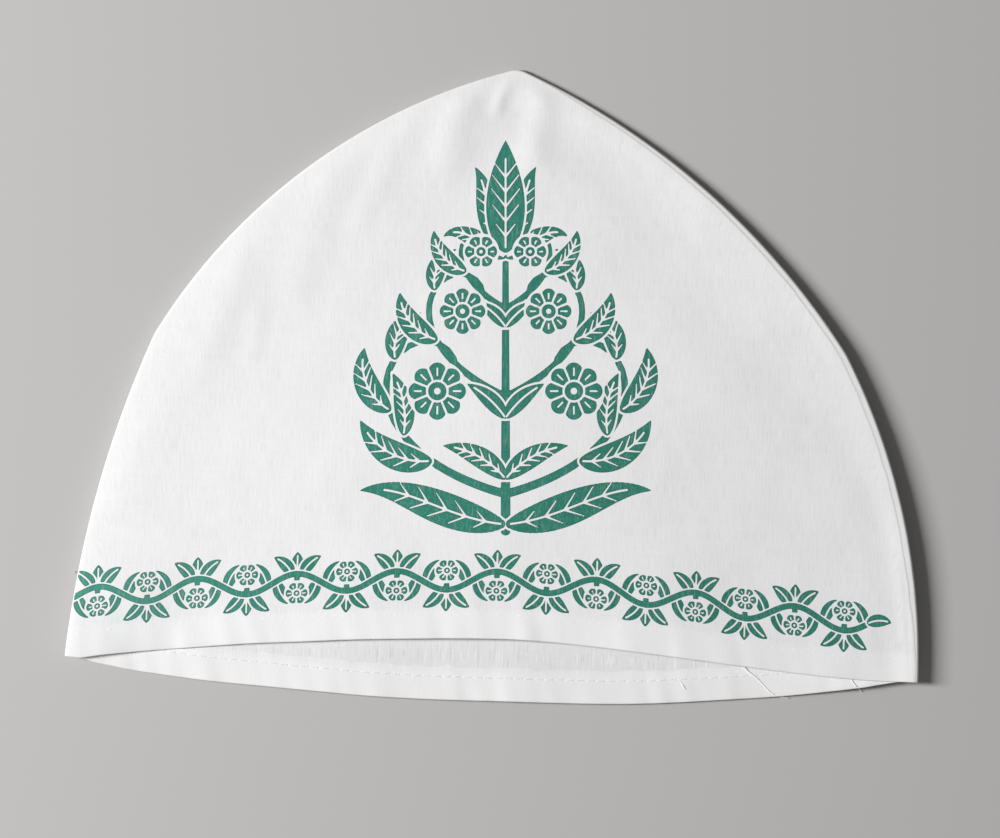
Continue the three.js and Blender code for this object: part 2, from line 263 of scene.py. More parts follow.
def curve_through(keys, values, slopes, at):
    """Reads a curve through given values, with a given slope at each."""
    i = np.clip(np.searchsorted(keys, at, "right") - 1, 0, len(keys) - 2)
    span = keys[i + 1] - keys[i]
    t = (at - keys[i]) / span
    level = (2 * t**3 - 3 * t**2 + 1) * values[i] + (3 * t**2 - 2 * t**3) * values[i + 1]
    return level + span * ((t**3 - 2 * t**2 + t) * slopes[i] + (t**3 - t**2) * slopes[i + 1])


def from_table(rows, at):
    """Reads a table between its rows, on a curve with level ends."""
    keys, values = np.array(rows, float).T
    slopes = np.zeros(len(keys))
    slopes[1:-1] = (values[2:] - values[:-2]) / (keys[2:] - keys[:-2])
    return curve_through(keys, values, slopes, np.clip(at, keys[0], keys[-1]))


def hem_height(face, x):
    return from_table(HEMS[face], x)


print("hems in the middle, mm:", {face: round(float(hem_height(face, 0.0)), 1) for face in HEMS})

# %% Small waves that the pressed cloth keeps
CLOTH_SEED = 11


def waves(x, h, shortest, longest, seed, count=9):
    """A smooth, uneven surface with heights of about -1 to 1, made of seeded sine waves."""
    dice = np.random.default_rng(CLOTH_SEED + seed)
    total = np.zeros(np.shape(x))
    for _ in range(count):
        way, start = dice.uniform(0, math.tau, 2)
        length = dice.uniform(shortest, longest)
        total += np.sin(math.tau * (x * math.cos(way) + h * math.sin(way)) / length + start)
    return total / math.sqrt(count)


# %% Ripples and the stitches' groove along the hem
HEM_DEPTH = 11.0
STITCH_ROW = {"front": 7.8, "back": 7.7}  # above the hem's fold
STITCH_PULL = {"front": 0.05, "back": 0.10}
GROOVE_WIDTH = 0.8
HEM_RIPPLE = {"front": (0.18, 3), "back": (0.16, 4)}  # height and seed
RIPPLES = [(1.0, 0.25, 7, 16, 0), (1.5, -0.15, 18, 32, 5)]  # share, slant, lengths, added to seed
RIPPLE_LIMIT = 0.24  # it is never much higher or deeper than this


def hem_waves(face, x, above):
    """The hem is gathered a little by its thread, so it ripples between the stitches."""
    height, seed = HEM_RIPPLE[face]
    total = sum(
        share * height * waves(x + slant * above, 0 * x, shortest, longest, seed + more)
        for share, slant, shortest, longest, more in RIPPLES
    )
    ripple = RIPPLE_LIMIT * np.tanh(total / RIPPLE_LIMIT)
    return ripple * np.exp(-np.maximum(above, 0) / HEM_DEPTH)


def stitch_groove(face, above):
    return np.exp(-(((above - STITCH_ROW[face]) / GROOVE_WIDTH) ** 2))


print("ripple of the front hem, mm:", hem_waves("front", np.array([-100.0, 0.0, 100.0]), 0).round(2))

# %% The shape of a fold and of a crease


def fold_height(fold, x, h):
    from_x, from_h, to_x, to_h, width, height = fold
    length = math.hypot(to_x - from_x, to_h - from_h)
    way = np.array([to_x - from_x, to_h - from_h]) / length
    along = (x - from_x) * way[0] + (h - from_h) * way[1]
    across = (x - from_x) * way[1] - (h - from_h) * way[0]
    past = np.maximum(0, np.maximum(-along, along - length))
    return height * np.exp(-((across / width) ** 2) - (past / (FOLD_FADE * width)) ** 2)


def edge_crease(crease, right, h):
    distance, width, height, low, high = crease
    along = smooth((h - low) / CREASE_FADE) * smooth((high - h) / CREASE_FADE)
    return height * along * np.exp(-(((right - distance) / width) ** 2))


# %% The outer surface of each panel


def lift_at(face, left, right, x, h):
    left_share, right_share = ((1 - np.minimum(d / LIFT_REACH, 1)) ** 2 for d in (left, right))
    left_lift, right_lift = (from_table(EDGE_LIFT[side], h) for side in ("left", "right"))
    fall = SEAM_FALL * (1 - smooth(right / FALL_WIDTH)) * smooth(right_lift / HIGH_EDGE)
    corner = CORNER_LIFT * np.exp(-((x + HALF_MOUTH) ** 2 + h**2) / CORNER_REACH**2)
    if face == "back":
        corner *= 1 - CORNER_DROP * smooth(left / DROP_REACH)
    return left_lift * left_share + right_lift * right_share + corner - fall


def seam_hollow(right, h):
    place = from_table([row[:2] for row in SEAM_HOLLOW], h)
    depth = from_table([row[::2] for row in SEAM_HOLLOW], h)
    return -depth * np.exp(-(((right - place) / (HOLLOW_WIDTH * place)) ** 2))


def panel_height(face, x, h, roll=None):
    """Height of a panel's outer surface. roll is the rise round the edge, where it is known."""
    left, right = distance_to("left", x, h), distance_to("right", x, h)
    inside = np.minimum(left, right)
    room = smooth(inside / EASE)
    if roll is None:
        flatness = 1 - np.minimum(inside, EDGE_WIDTH) / EDGE_WIDTH
        roll = EDGE_HEIGHT * np.sqrt(1 - flatness**2)
    lift = lift_at(face, left, right, x, h)
    above = h - hem_height(face, x)
    across = np.maximum(0, 1 - (x / HALF_MOUTH) ** 2) ** MOUTH_ROUNDNESS
    if face == "back":
        relief = BACK_WAVE * (1 + waves(x, h, *BACK_WAVES)) + BACK_BASE + hem_waves(face, x, above)
        rise = BACK_RISE * (1 - RISE_LEAN * x / HALF_MOUTH)
        relief += rise * across * (1 - smooth(above / RISE_REACH))
        relief = np.maximum(relief, 0) + STITCH_PULL[face] * stitch_groove(face, above)
        return lift + EDGE_HEIGHT - roll + relief * room
    rounding = from_table(LEFT_ROUNDING, h)
    loft = LEFT_STEEPNESS * rounding * (1 - np.exp(-left / rounding))
    loft += BODY_LOFT * smooth((left - SLOPE_START) / (SLOPE_END - SLOPE_START))
    loft *= 1 - np.exp(-((right / RIGHT_ROUNDING) ** RIGHT_FULLNESS))
    droop = MOUTH_DROOP * across * (1 - smooth(above / DROOP_REACH))
    folds = sum(fold_height(fold, x, h) for fold in FOLDS) + seam_hollow(right, h)
    relief = FRONT_WAVE * waves(x, h, *FRONT_WAVES) + hem_waves(face, x, above)
    relief += STREAK_WAVE * waves(x, STREAK_STRETCH * h, *STREAK_WAVES)
    relief -= STITCH_PULL[face] * stitch_groove(face, above)
    creases = sum(edge_crease(crease, right, h) for crease in EDGE_CREASES)
    return lift + EDGE_HEIGHT + roll + loft + creases + (folds + relief - droop) * room


probe = np.array([0.0, -100.0, 100.0])
print("front over the hem, mm:", panel_height("front", probe, probe * 0 + 12.0).round(2))

# %% [markdown]
# ## Laying the cloth
#
# Each panel is one sheet of cotton, a third of a millimetre thick. Its right side starts at the seam,
# runs round the side edges, down to the hem, round the hem's small fold and up again inside as
# the turned-up strip. A Solidify modifier could thicken a flat grid, but it knows nothing of the
# fold. So the sheet is laid as rows of points from the point of the cap to the strip's raw edge,
# and the wrong side is the same rows moved in by the cloth's thickness.
#
# Every point also keeps where it is on the flat cloth, which side of the cloth it is on, how far it is
# from the hem's fold and how far from the seam. The weave, the needle holes and the painted light and
# shade on the cotton are drawn by these numbers, so they follow the cloth.

# %% Rows of the sheet
CLOTH = 0.36  # thickness
RAW_EDGE, RAW_GAP = 0.03, 0.01  # thickness left where the strip frays out, and the air under it
FOLD_RADIUS = 0.42  # of the cloth's right side, round the hem
SEAM_GAP = 0.03  # between the panels
SEAM_WAVE, SEAM_WAVES = 0.10, (5, 14, 10)  # how far the seam wanders to and fro
ROWS, COLUMNS, BAND_STEPS = 160, 180, 26
ROW_CROWDING = 1.2  # above 1, the rows lie closer near the point
BEND_FADE = 2.5  # how soon the columns forget the bend of the sides
FAR_FROM_SEAM = 99.0  # kept for all points beyond the bands
QUARTER_ROUND = EDGE_HEIGHT * math.pi / 2
BAND_ROUND = QUARTER_ROUND + BAND - EDGE_WIDTH


def edge_rows(face, along):
    """The band along one side: points from the seam to the band's inner line."""
    towards = 1 if face == "front" else -1
    place, inward = outline_at(along)
    at_left = np.where(along < 0, 1, 0)
    left_roll, right_roll = (from_table(SEAM_ROLL[side], place[:, 1]) for side in ("left", "right"))
    seam = np.where(at_left, left_roll, right_roll)
    seam += SEAM_WAVE * waves(place[:, 1], 60 * at_left, *SEAM_WAVES) * smooth(np.abs(seam) / 2)
    seam = np.where(along == 0, 0, seam)
    start = seam + towards * SEAM_GAP / 2
    t = np.linspace(0, 1, BAND_STEPS + 1)
    rounds = start[:, None] + (towards * BAND_ROUND - start)[:, None] * t
    length = np.abs(rounds)
    curved = length < QUARTER_ROUND
    turned = np.minimum(length, QUARTER_ROUND) / EDGE_HEIGHT
    depth = np.where(curved, EDGE_WIDTH * (1 - np.cos(turned)), EDGE_WIDTH + length - QUARTER_ROUND)
    roll = EDGE_HEIGHT * np.sin(turned)
    spot = place[:, None] + inward[:, None] * depth[..., None]
    x, h = spot[..., 0], spot[..., 1]
    height = np.where(rounds < 0, *(panel_height(name, x, h, roll) for name in ("back", "front")))
    unrolled = place[:, None] + inward[:, None] * (rounds * towards)[..., None]
    from_seam = np.abs(rounds - seam[:, None])
    return np.stack([x, h, height], -1), unrolled, from_seam


def lay_panel(face):
    """Rows of points of one panel's right side, their places on the cloth, and the seam's nearness."""
    share = (np.arange(ROWS + 1) / ROWS) ** ROW_CROWDING
    left_end, right_end = (1 - FOLD_RADIUS / run for run in (POINT_RUN, OUTLINE_RUN[-1] - POINT_RUN))
    left, left_cut, left_seam = edge_rows(face, -share * left_end)
    right, right_cut, right_seam = edge_rows(face, share * right_end)
    top = left[0, -1, :2]
    hem_from, hem_to = left[-1, -1, :2], right[-1, -1, :2]
    u = np.linspace(0, 1, COLUMNS + 1)
    hem = hem_from + (hem_to - hem_from) * u[:, None]
    hem[:, 1] += hem_height(face, hem[:, 0])
    straight = top + (hem - top) * share[:, None, None]
    spots = straight
    for band, end, fade in ((left, 0, 1 - u), (right, -1, u)):
        bend = band[:, -1, :2] - straight[:, end]
        spots = spots + bend[:, None] * (fade**BEND_FADE)[None, :, None]
    spots = spots[:, 1:-1]
    height = panel_height(face, spots[..., 0], spots[..., 1])
    patch = np.concatenate([spots, height[..., None]], -1)
    points = np.concatenate([left, patch, right[:, ::-1]], 1)
    cut = np.concatenate([left_cut, spots, right_cut[:, ::-1]], 1)
    far = np.full(height.shape, FAR_FROM_SEAM)
    return points, cut, np.concatenate([left_seam, far, right_seam[:, ::-1]], 1)


# %% Number the points, and find the way out of the cloth at each


def number_points(rows):
    """Point numbers of the grid. The first row is the point of the cap, where both bands meet."""
    columns = COLUMNS + 2 * BAND_STEPS + 1
    numbers = np.arange(rows * columns).reshape(rows, columns)
    numbers[0, BAND_STEPS:] = numbers[0, BAND_STEPS]
    numbers[0, -BAND_STEPS - 1:] = numbers[0, BAND_STEPS::-1]
    return numbers


def faces_between(numbers):
    corners = numbers[:-1, :-1], numbers[1:, :-1], numbers[1:, 1:], numbers[:-1, 1:]
    return np.stack(corners, -1).reshape(-1, 4)


def outwards(face, points, numbers):
    """The mean direction out of the faces round each point, larger faces counting for more."""
    flat = points.reshape(-1, 3)
    quads = faces_between(numbers)
    a, b, c, d = (flat[quads[:, k]] for k in range(4))
    face_way = np.cross(c - a, d - b) * (1 if face == "front" else -1)
    total = np.zeros_like(flat)
    for k in range(4):
        np.add.at(total, quads[:, k], face_way)
    total = total[numbers]
    return total / np.maximum(np.linalg.norm(total, axis=-1, keepdims=True), 1e-12)


print("rows and columns of a panel:", number_points(ROWS + 1).shape)

# %% Turn the hem
FOLD_STEPS, STRIP_STEPS = 8, 12
FRAY = 2.2  # depth of the strip's frayed edge
RAW_WAVE, RAW_WAVES = 0.3, (3.5, 9, 9)  # the raw edge isn't quite straight
STRIP_PULL, STRIP_WAVE, STRIP_WAVES = 0.06, 0.03, (5, 13, 6)  # at its stitches; at its edge
STRIP_REACH = 24  # rows above the hem that the strip can lie under


def above_hem(face, points):
    """Distance up from the hem's fold, for each point of the panel."""
    return points[..., 1] - hem_height(face, points[..., 0])


def frayed(above):
    """From 0 on the strip to 1 at its raw edge, where it thins out and lies close."""
    return smooth((above - HEM_DEPTH + FRAY) / FRAY)


def strip_depth(face, x, above):
    """How far the turned-up strip lies under the panel's outer surface."""
    pulled = STRIP_PULL * stitch_groove(face, above)
    lying = CLOTH + RAW_EDGE + RAW_GAP + STRIP_WAVE * np.abs(waves(x, 0 * x, *STRIP_WAVES))
    return 2 * FOLD_RADIUS - pulled + frayed(above) * (lying - 2 * FOLD_RADIUS)


def turn_hem(face, points, ways):
    """Adds the rounded fold and the turned-up strip below the panel's last row."""
    last, out = points[-1], ways[-1]
    tangent = np.gradient(last, axis=0)
    onward = np.cross(tangent, out)
    onward /= np.linalg.norm(onward, axis=1, keepdims=True)
    onward *= -np.sign(onward[:, 1:2])
    angles = np.linspace(0, math.pi, FOLD_STEPS + 1)[1:, None, None]
    fold = last - FOLD_RADIUS * out + FOLD_RADIUS * (np.cos(angles) * out + np.sin(angles) * onward)
    above = above_hem(face, points)
    low = above[-1]
    strip = np.empty((STRIP_STEPS, *last.shape))
    known, spots, outs = (rows[: -STRIP_REACH - 1:-1] for rows in (above, points, ways))
    for k, share in enumerate(np.arange(1, STRIP_STEPS + 1) / STRIP_STEPS):
        wanted = low + (HEM_DEPTH - low) * share
        wanted += RAW_WAVE * waves(last[:, 0], 0 * low, *RAW_WAVES) * share**4
        for column, at in enumerate(wanted):
            spot, way = (read_rows(at, known[:, column], rows[:, column]) for rows in (spots, outs))
            depth = strip_depth(face, spot[0], at)
            strip[k, column] = spot - depth * way / np.linalg.norm(way)
    return fold, strip


print("strip under the front, mm:", strip_depth("front", probe, 0 * probe + 5.0).round(2))

# %% The whole sheet
SEAM_DIP, SEAM_WIDTH = 0.06, 0.55  # how deep the thread pulls the seam in, and how far beside it
DIP_SHARE, DIP_CHANGE, LEAST_DIP = 0.6, 0.5, 0.1  # of it, changing along the seam
DIP_WAVES = (50, 110, 8)


def finish_sheet(face):
    """The whole sheet of one panel as vertices, faces and the places kept for each vertex."""
    points, cut, from_seam = lay_panel(face)
    ways = outwards(face, points, number_points(len(points)))
    share = DIP_SHARE + DIP_CHANGE * waves(points[..., 1], 0 * from_seam, *DIP_WAVES)
    dip = SEAM_DIP * np.maximum(LEAST_DIP, share) * (1 - np.clip(from_seam / SEAM_WIDTH, 0, 1)) ** 2
    points = points - ways * dip[..., None]
    fold, strip = turn_hem(face, points, ways)
    above = above_hem(face, points)
    low, steps = above[-1], np.arange(1, STRIP_STEPS + 1)[:, None] / STRIP_STEPS
    fold_turn = np.cos(np.linspace(0, math.pi, FOLD_STEPS + 1))[1:, None]
    under = np.abs(np.concatenate([low * fold_turn, low + (HEM_DEPTH - low) * steps]))
    turned = len(under)
    hem_cut = np.repeat(cut[-1:], turned, 0)
    hem_cut[..., 1] -= under + FOLD_RADIUS
    sheet = np.concatenate([points, fold, strip])
    cut = np.concatenate([cut, hem_cut])
    above = np.concatenate([above, under])
    from_seam = np.concatenate([from_seam, np.repeat(from_seam[-1:], turned, 0)])
    thickness = np.full(above.shape, CLOTH)
    thickness[-STRIP_STEPS:] += frayed(above[-STRIP_STEPS:]) * (RAW_EDGE - CLOTH)
    numbers = number_points(len(sheet))
    ways = outwards(face, sheet, numbers)
    return sheet, sheet - thickness[..., None] * ways, numbers, cut, above, from_seam


# %% Objects in the frame


def to_frame(points):
    """From x, h and height in millimetres to the frame's metres."""
    return (np.asarray(points, float) + np.array([0, CORNERS_Y, 0])) / 1000


def new_object(name, data):
    made = bpy.data.objects.new(name, data)
    bpy.context.scene.collection.objects.link(made)
    return made


def new_mesh(name, points, faces):
    mesh = bpy.data.meshes.new(name)
    mesh.from_pydata(to_frame(points).tolist(), [], faces)
    mesh.update()
    mesh.shade_smooth()
    return new_object(name, mesh)


def keep_places(piece, name, values):
    """Stores a vector for each vertex, for the materials to read."""
    layer = piece.data.attributes.new(name, "FLOAT_VECTOR", "POINT")
    layer.data.foreach_set("vector", np.asarray(values, np.float32).ravel())


# %% Make both cloths
SHARP_FROM = math.radians(60)  # the cut edges of the cloth stay sharp
HEM_GRID = np.linspace(-HALF_MOUTH, HALF_MOUTH, 1200)


def rim_faces(numbers, count):
    """Faces that close the sheet along its two seam edges and the strip's raw edge."""
    border = np.concatenate([numbers[:, 0], numbers[-1, 1:], numbers[-2::-1, -1]])
    a, b = border[:-1], border[1:]
    return np.stack([b, a, a + count, b + count], -1)


def make_cloth(name, face):
    outer, inner, numbers, cut, above, from_seam = finish_sheet(face)
    count = outer.shape[0] * outer.shape[1]
    right_side = faces_between(numbers)
    quads = np.concatenate([right_side, right_side[:, ::-1] + count, rim_faces(numbers, count)])
    quads = (quads[:, ::-1] if face == "back" else quads).tolist()
    faces = [[v for k, v in enumerate(quad) if v != quad[k - 1]] for quad in quads]
    faces = [face_points for face_points in faces if len(face_points) > 2]
    points = np.concatenate([outer.reshape(-1, 3), inner.reshape(-1, 3)])
    used = np.unique(np.concatenate(faces))
    renumber = np.full(len(points), -1)
    renumber[used] = np.arange(len(used))
    piece = new_mesh(name, points[used], [renumber[f].tolist() for f in faces])
    piece.data.set_sharp_from_angle(angle=SHARP_FROM)
    on_cut = np.concatenate([cut.reshape(-1, 2)] * 2)
    keep_places(piece, "cut", np.column_stack([on_cut, np.repeat([0.0, 1.0], count)])[used])
    height, seam = (np.concatenate([values.ravel()] * 2) for values in (above, from_seam))
    run = hem_run(face, points[:, 0])
    keep_places(piece, "hem", np.column_stack([run, height, seam])[used])
    print(name, len(piece.data.polygons), "faces, lowest", points[used, 2].min().round(3))
    return piece


def hem_run(face, x):
    """Length along the hem's fold from the middle of the mouth to x."""
    run = length_along(np.column_stack([HEM_GRID, hem_height(face, HEM_GRID)]))
    return np.interp(x, HEM_GRID, run - run[len(run) // 2])


front_cloth = make_cloth("front_cloth", "front")
back_cloth = make_cloth("back_cloth", "back")

# %% [markdown]
# ## The hem's stitches
#
# A running row of small machine stitches holds the strip, on the right side and inside. Each is
# a short thread that comes up through one hole and goes down through the next. An array along a
# curve would give beads of one shape at one height. Here each stitch is a thin tube whose middle
# line follows the cloth, a little sunk into the front and a little above the back, and dips at
# both ends.

# %% A tube along a line


def tube_mesh(line, radii, sides=6):
    """Points and faces of a closed tube along a line, with a radius for each point of it."""
    line = np.asarray(line, float)
    along = np.gradient(line, axis=0)
    along /= np.linalg.norm(along, axis=1, keepdims=True)
    across = np.cross(along, [0, 0, 1.0])
    across /= np.linalg.norm(across, axis=1, keepdims=True)
    up = np.cross(across, along)
    turn = np.linspace(0, math.tau, sides, endpoint=False)
    radii = np.asarray(radii, float)[:, None, None]
    ring = across[:, None] * np.cos(turn)[None, :, None] + up[:, None] * np.sin(turn)[None, :, None]
    points = (line[:, None] + ring * radii).reshape(-1, 3)
    k = np.arange(sides)
    start, n = sides * np.arange(len(line) - 1)[:, None], np.roll(k, -1)
    around = np.stack([start + k, start + n, start + sides + n, start + sides + k], -1)
    ends = [k[::-1].tolist(), (sides * (len(line) - 1) + k).tolist()]
    return points, [*around.reshape(-1, 4).tolist(), *ends]


def join_meshes(parts):
    points, faces, start = [], [], 0
    for part_points, part_faces in parts:
        points.append(part_points)
        faces.extend([[v + start for v in face] for face in part_faces])
        start += len(part_points)
    return np.concatenate(points), faces


# %% Sew both rows
THREAD = 0.14  # half the thickness of the sewing thread
STITCH_RISE = {"front": -0.15, "back": 0.40}  # of it, over the cloth
STITCH_SINK = 0.75  # each lies deeper by its own amount, up to the square of this
STITCH_DIP, STITCH_TAPER = 2.2, 0.45  # of the half thickness, at both ends
STITCH_PITCH, STITCH_LENGTH = 3.46, 2.7  # from stitch to stitch, and what shows of each
STITCH_STRAY, ROW_STRAY = 0.06, 0.05  # how far chance shifts them along and across the row
STITCH_SEED = 20


def hem_spot(face, run, above):
    """x and h at a length along the hem and a height above it."""
    x = np.interp(run, hem_run(face, HEM_GRID), HEM_GRID)
    return x, hem_height(face, x) + above


def sew_row(name, face, inside, ends):
    """One side of a stitch row, between two lengths along the hem from the mouth's middle."""
    dice = np.random.default_rng(CLOTH_SEED + STITCH_SEED + inside)
    t = np.linspace(-1, 1, 9)
    stitches = []
    first, last = math.ceil(ends[0] / STITCH_PITCH), math.floor(ends[1] / STITCH_PITCH)
    for k in range(first, last):
        middle = (k + 0.5) * STITCH_PITCH + dice.normal(0, STITCH_STRAY)
        tilt = dice.normal(0, STITCH_STRAY)
        run = middle + t * STITCH_LENGTH / 2
        x, h = hem_spot(face, run, STITCH_ROW[face] + tilt * t + dice.normal(0, ROW_STRAY))
        surface = panel_height(face, x, h)
        out = 1 if face == "front" else -1
        if inside:
            surface = surface - out * strip_depth(face, x, h - hem_height(face, x))
            out = -out
        sunk = dice.uniform(0, STITCH_SINK) ** 2
        rise = THREAD * (STITCH_RISE[face] - sunk - STITCH_DIP * np.abs(t) ** 3)
        line = np.column_stack([x, h, surface + out * rise])
        stitches.append(tube_mesh(line, THREAD * (1 - STITCH_TAPER * t**4)))
    piece = new_mesh(name, *join_meshes(stitches))
    print(name, len(stitches), "stitches")
    return piece


stitch_rows = [sew_row(*row) for row in (
    ("front_stitches", "front", False, (-143, 142)),
    ("front_strip_stitches", "front", True, (-138, 138)),
    ("back_stitches", "back", False, (-139, 140)),
    ("back_strip_stitches", "back", True, (-139, 139)),
)]

# %% Three loose ends of thread
LOOSE_THREAD = 0.15  # untwisted a little, so thicker than in a stitch
CUT_END = 0.12  # the scissors pinch its end
THREAD_REST = 0.14  # lowest height of its middle line
OPEN_FLOOR = 0.15  # height counted as the top of the surface beyond the cloth
HEM_ROUND = 0.4  # so far above the hem's fold is still the round of it
SOFTENINGS = 4  # times that the thread's height is evened out
LOOSE_ENDS = {  # rows of x, h and height above what lies there
    "long_thread_end": [
        (84.2, 5.0, 0.45), (86.4, 2.2, 0.3), (89.4, 0.0, 0.15), (92.0, -2.6, 0.1),
        (94.6, -5.0, 0.15), (97.2, -6.2, 0.2), (99.2, -6.6, 0.2), (100.9, -6.9, 0.0),
    ],
    "middle_thread_end": [
        (63.7, -1.9, -0.05), (64.4, -2.9, 0.05), (65.1, -3.9, 0.15), (65.8, -4.9, 0.0),
    ],
    "right_thread_end": [
        (121.3, 0.8, 0.2), (121.9, -0.2, 0.2), (122.6, -1.2, 0.2), (123.5, -2.1, 0.3),
        (124.4, -2.8, 0.4), (125.3, -3.9, 0.2),
    ],
}


def surface_under(x, h):
    """Top of what lies open there: the back panel's strip or wrong side, or the surface beyond it."""
    above = h - hem_height("back", x)
    inside = np.where(above < HEM_DEPTH, strip_depth("back", x, above), CLOTH)
    on_cloth = panel_height("back", x, h) + inside
    return np.where(above > HEM_ROUND, on_cloth, OPEN_FLOOR)


def loose_end(name, rows):
    rows = np.array(rows, float)
    run = length_along(rows[:, :2])
    t = np.linspace(0, run[-1], 8 * len(rows))
    line = np.column_stack([
        curve_through(run, column, np.gradient(column, run), t) for column in rows.T
    ])
    line[:, 2] += surface_under(line[:, 0], line[:, 1])
    line[:, 2] = np.maximum(line[:, 2], THREAD_REST)
    for _ in range(SOFTENINGS):
        line[1:-1, 2] = (line[:-2, 2] + 2 * line[1:-1, 2] + line[2:, 2]) / 4
    radii = np.full(len(line), LOOSE_THREAD)
    radii[-2:] = CUT_END
    print(name, round(run[-1], 1), "mm long")
    return new_mesh(name, *tube_mesh(line, radii, 8))


loose_ends = [loose_end(name, rows) for name, rows in LOOSE_ENDS.items()]

# %% [markdown]
# ## The print
#
# The front is screen printed: a flowering tree in the middle and a vine along the hem. A printer
# cuts such an ornament as a stencil. An image texture would need a file and would blur close up,
# so the stencil is drawn here as strokes that grow from one another, like the branches of a real
# plant. From the strokes comes one number for any spot: its distance from the nearest edge of the
# ink, less than nothing inside it. Leaves, veins and petals are then only sums and cuts of such
# distances.

# %% Strokes of the tree and of the vine
# Each row: name, what it grows from, where on it, angle off it, length, turn, tighter turn,
# half width, kind
TREE = [
    ("trunk", None, 0.00, 0, 104, 0, 0, 1.7, "stem"),
    ("low branch", "trunk", 0.12, -74, 108, 62, 290, 1.5, "stem"),
    ("mid branch", "trunk", 0.44, -64, 82, 58, 310, 1.3, "stem"),
    ("top branch", "trunk", 0.73, -60, 53, 62, 320, 1.1, "stem"),
    ("foot leaf", "trunk", 0.02, -84, 52, 48, -70, 5.8, "leaf"),
    ("foot sprig", "trunk", 0.17, -40, 25, -46, 0, 3.6, "leaf"),
    ("low leaf", "low branch", 0.26, -40, 30, 74, 0, 4.8, "leaf"),
    ("low outer leaf", "low branch", 0.47, -44, 25, 78, 0, 4.3, "leaf"),
    ("low high leaf", "low branch", 0.64, -50, 20, 84, 0, 3.6, "leaf"),
    ("low inner leaf", "low branch", 0.38, 46, 22, -40, 0, 3.4, "leaf"),
    ("mid leaf", "mid branch", 0.38, -46, 22, 74, 0, 3.9, "leaf"),
    ("mid outer leaf", "mid branch", 0.60, -48, 17, 80, 0, 3.2, "leaf"),
    ("mid inner leaf", "trunk", 0.37, -34, 18, -30, 0, 2.8, "leaf"),
    ("top leaf", "top branch", 0.36, -46, 19, 74, 0, 3.3, "leaf"),
    ("top sprig", "trunk", 0.67, -34, 13, -30, 0, 2.2, "leaf"),
    ("bud side", "trunk", 0.90, -66, 24, 44, -120, 3.4, "leaf"),
    ("bud petal", "trunk", 0.92, -34, 31, 58, -60, 4.2, "leaf"),
    ("bud", "trunk", 0.92, 0, 38, 0, 0, 6.6, "leaf"),
]
TREE_FLOWERS = [("low branch", 9.8, 8), ("mid branch", 7.8, 8), ("top branch", 5.5, 6)]

VINE = [
    ("stalk", "vine", 0.50, -90, 7.6, 0, 0, 1.2, "stem"),
    ("crest", "vine", 0.50, 90, 8.6, 0, 0, 2.5, "leaf"),
    ("left crest", "vine", 0.40, 104, 10.4, 46, 0, 2.4, "leaf"),
    ("right crest", "vine", 0.60, 76, 10.4, -46, 0, 2.4, "leaf"),
    ("left foot", "vine", 0.10, -112, 11.2, 50, 0, 2.5, "leaf"),
    ("right foot", "vine", 0.90, -68, 11.2, -50, 0, 2.5, "leaf"),
]
VINE_FLOWERS = [("stalk", 4.3, 6)]
VINE_REPEAT, VINE_SWING, VINE_HALF = 19.68, 3.7, 1.15
VINE_TIP = [("end leaf", None, 0.00, -62, 9.4, -52, 0, 2.5, "leaf")]
print(len(TREE), "strokes in half the tree,", len(VINE), "in a repeat of the vine")

# %% Grow the strokes
STROKE_STEPS = 30
DRAWN_REACH = 3.0  # no distance is worked out beyond this
STEM_TAPER = 0.45  # how much thinner a stem ends
LEAF_MIDDLE, LEAF_POINT = 0.75, 0.9  # below 1: the broadest place lower down, and blunter ends


def grow(rows, grown=None):
    """The middle line, heading and half width of every stroke, by name."""
    grown = dict(grown or {})
    t = np.linspace(0, 1, STROKE_STEPS + 1)
    for name, parent, place, angle, length, turn, tighten, half_width, kind in rows:
        start, heading = np.zeros(2), math.radians(90 + angle)
        if parent:
            source = grown[parent]
            start = read_rows(place, t, source["line"])
            heading = source["heading"][int(place * STROKE_STEPS)] + math.radians(angle)
        headings = heading + np.radians(turn * t + tighten * t**3)
        steps = np.column_stack([np.cos(headings), np.sin(headings)])[:-1] * length / STROKE_STEPS
        line = start + np.vstack([[0, 0], np.cumsum(steps, axis=0)])
        half = half_width * (1 - STEM_TAPER * t)
        if kind == "leaf":
            half = half_width * np.clip(np.sin(np.pi * t**LEAF_MIDDLE), 0, 1) ** LEAF_POINT
        grown[name] = {"line": line, "heading": headings, "half": half, "kind": kind}
    return grown


print("tree drawn", round(max(stroke["line"][:, 1].max() for stroke in grow(TREE).values())), "mm high")

# %% Distance from a stroke


def stroke_distance(x, y, line, half):
    """Distance outside a stroke, less than nothing inside it."""
    found = np.full(x.shape, DRAWN_REACH)
    low = line.min(0) - half.max() - DRAWN_REACH
    high = line.max(0) + half.max() + DRAWN_REACH
    near = (x > low[0]) & (x < high[0]) & (y > low[1]) & (y < high[1])
    px, py, best = x[near], y[near], found[near]
    for a, b, half_a, half_b in zip(line[:-1], line[1:], half[:-1], half[1:]):
        distance, t = from_segment(px, py, a, b)
        best = np.minimum(best, distance - half_a - (half_b - half_a) * t)
    found[near] = best
    return found


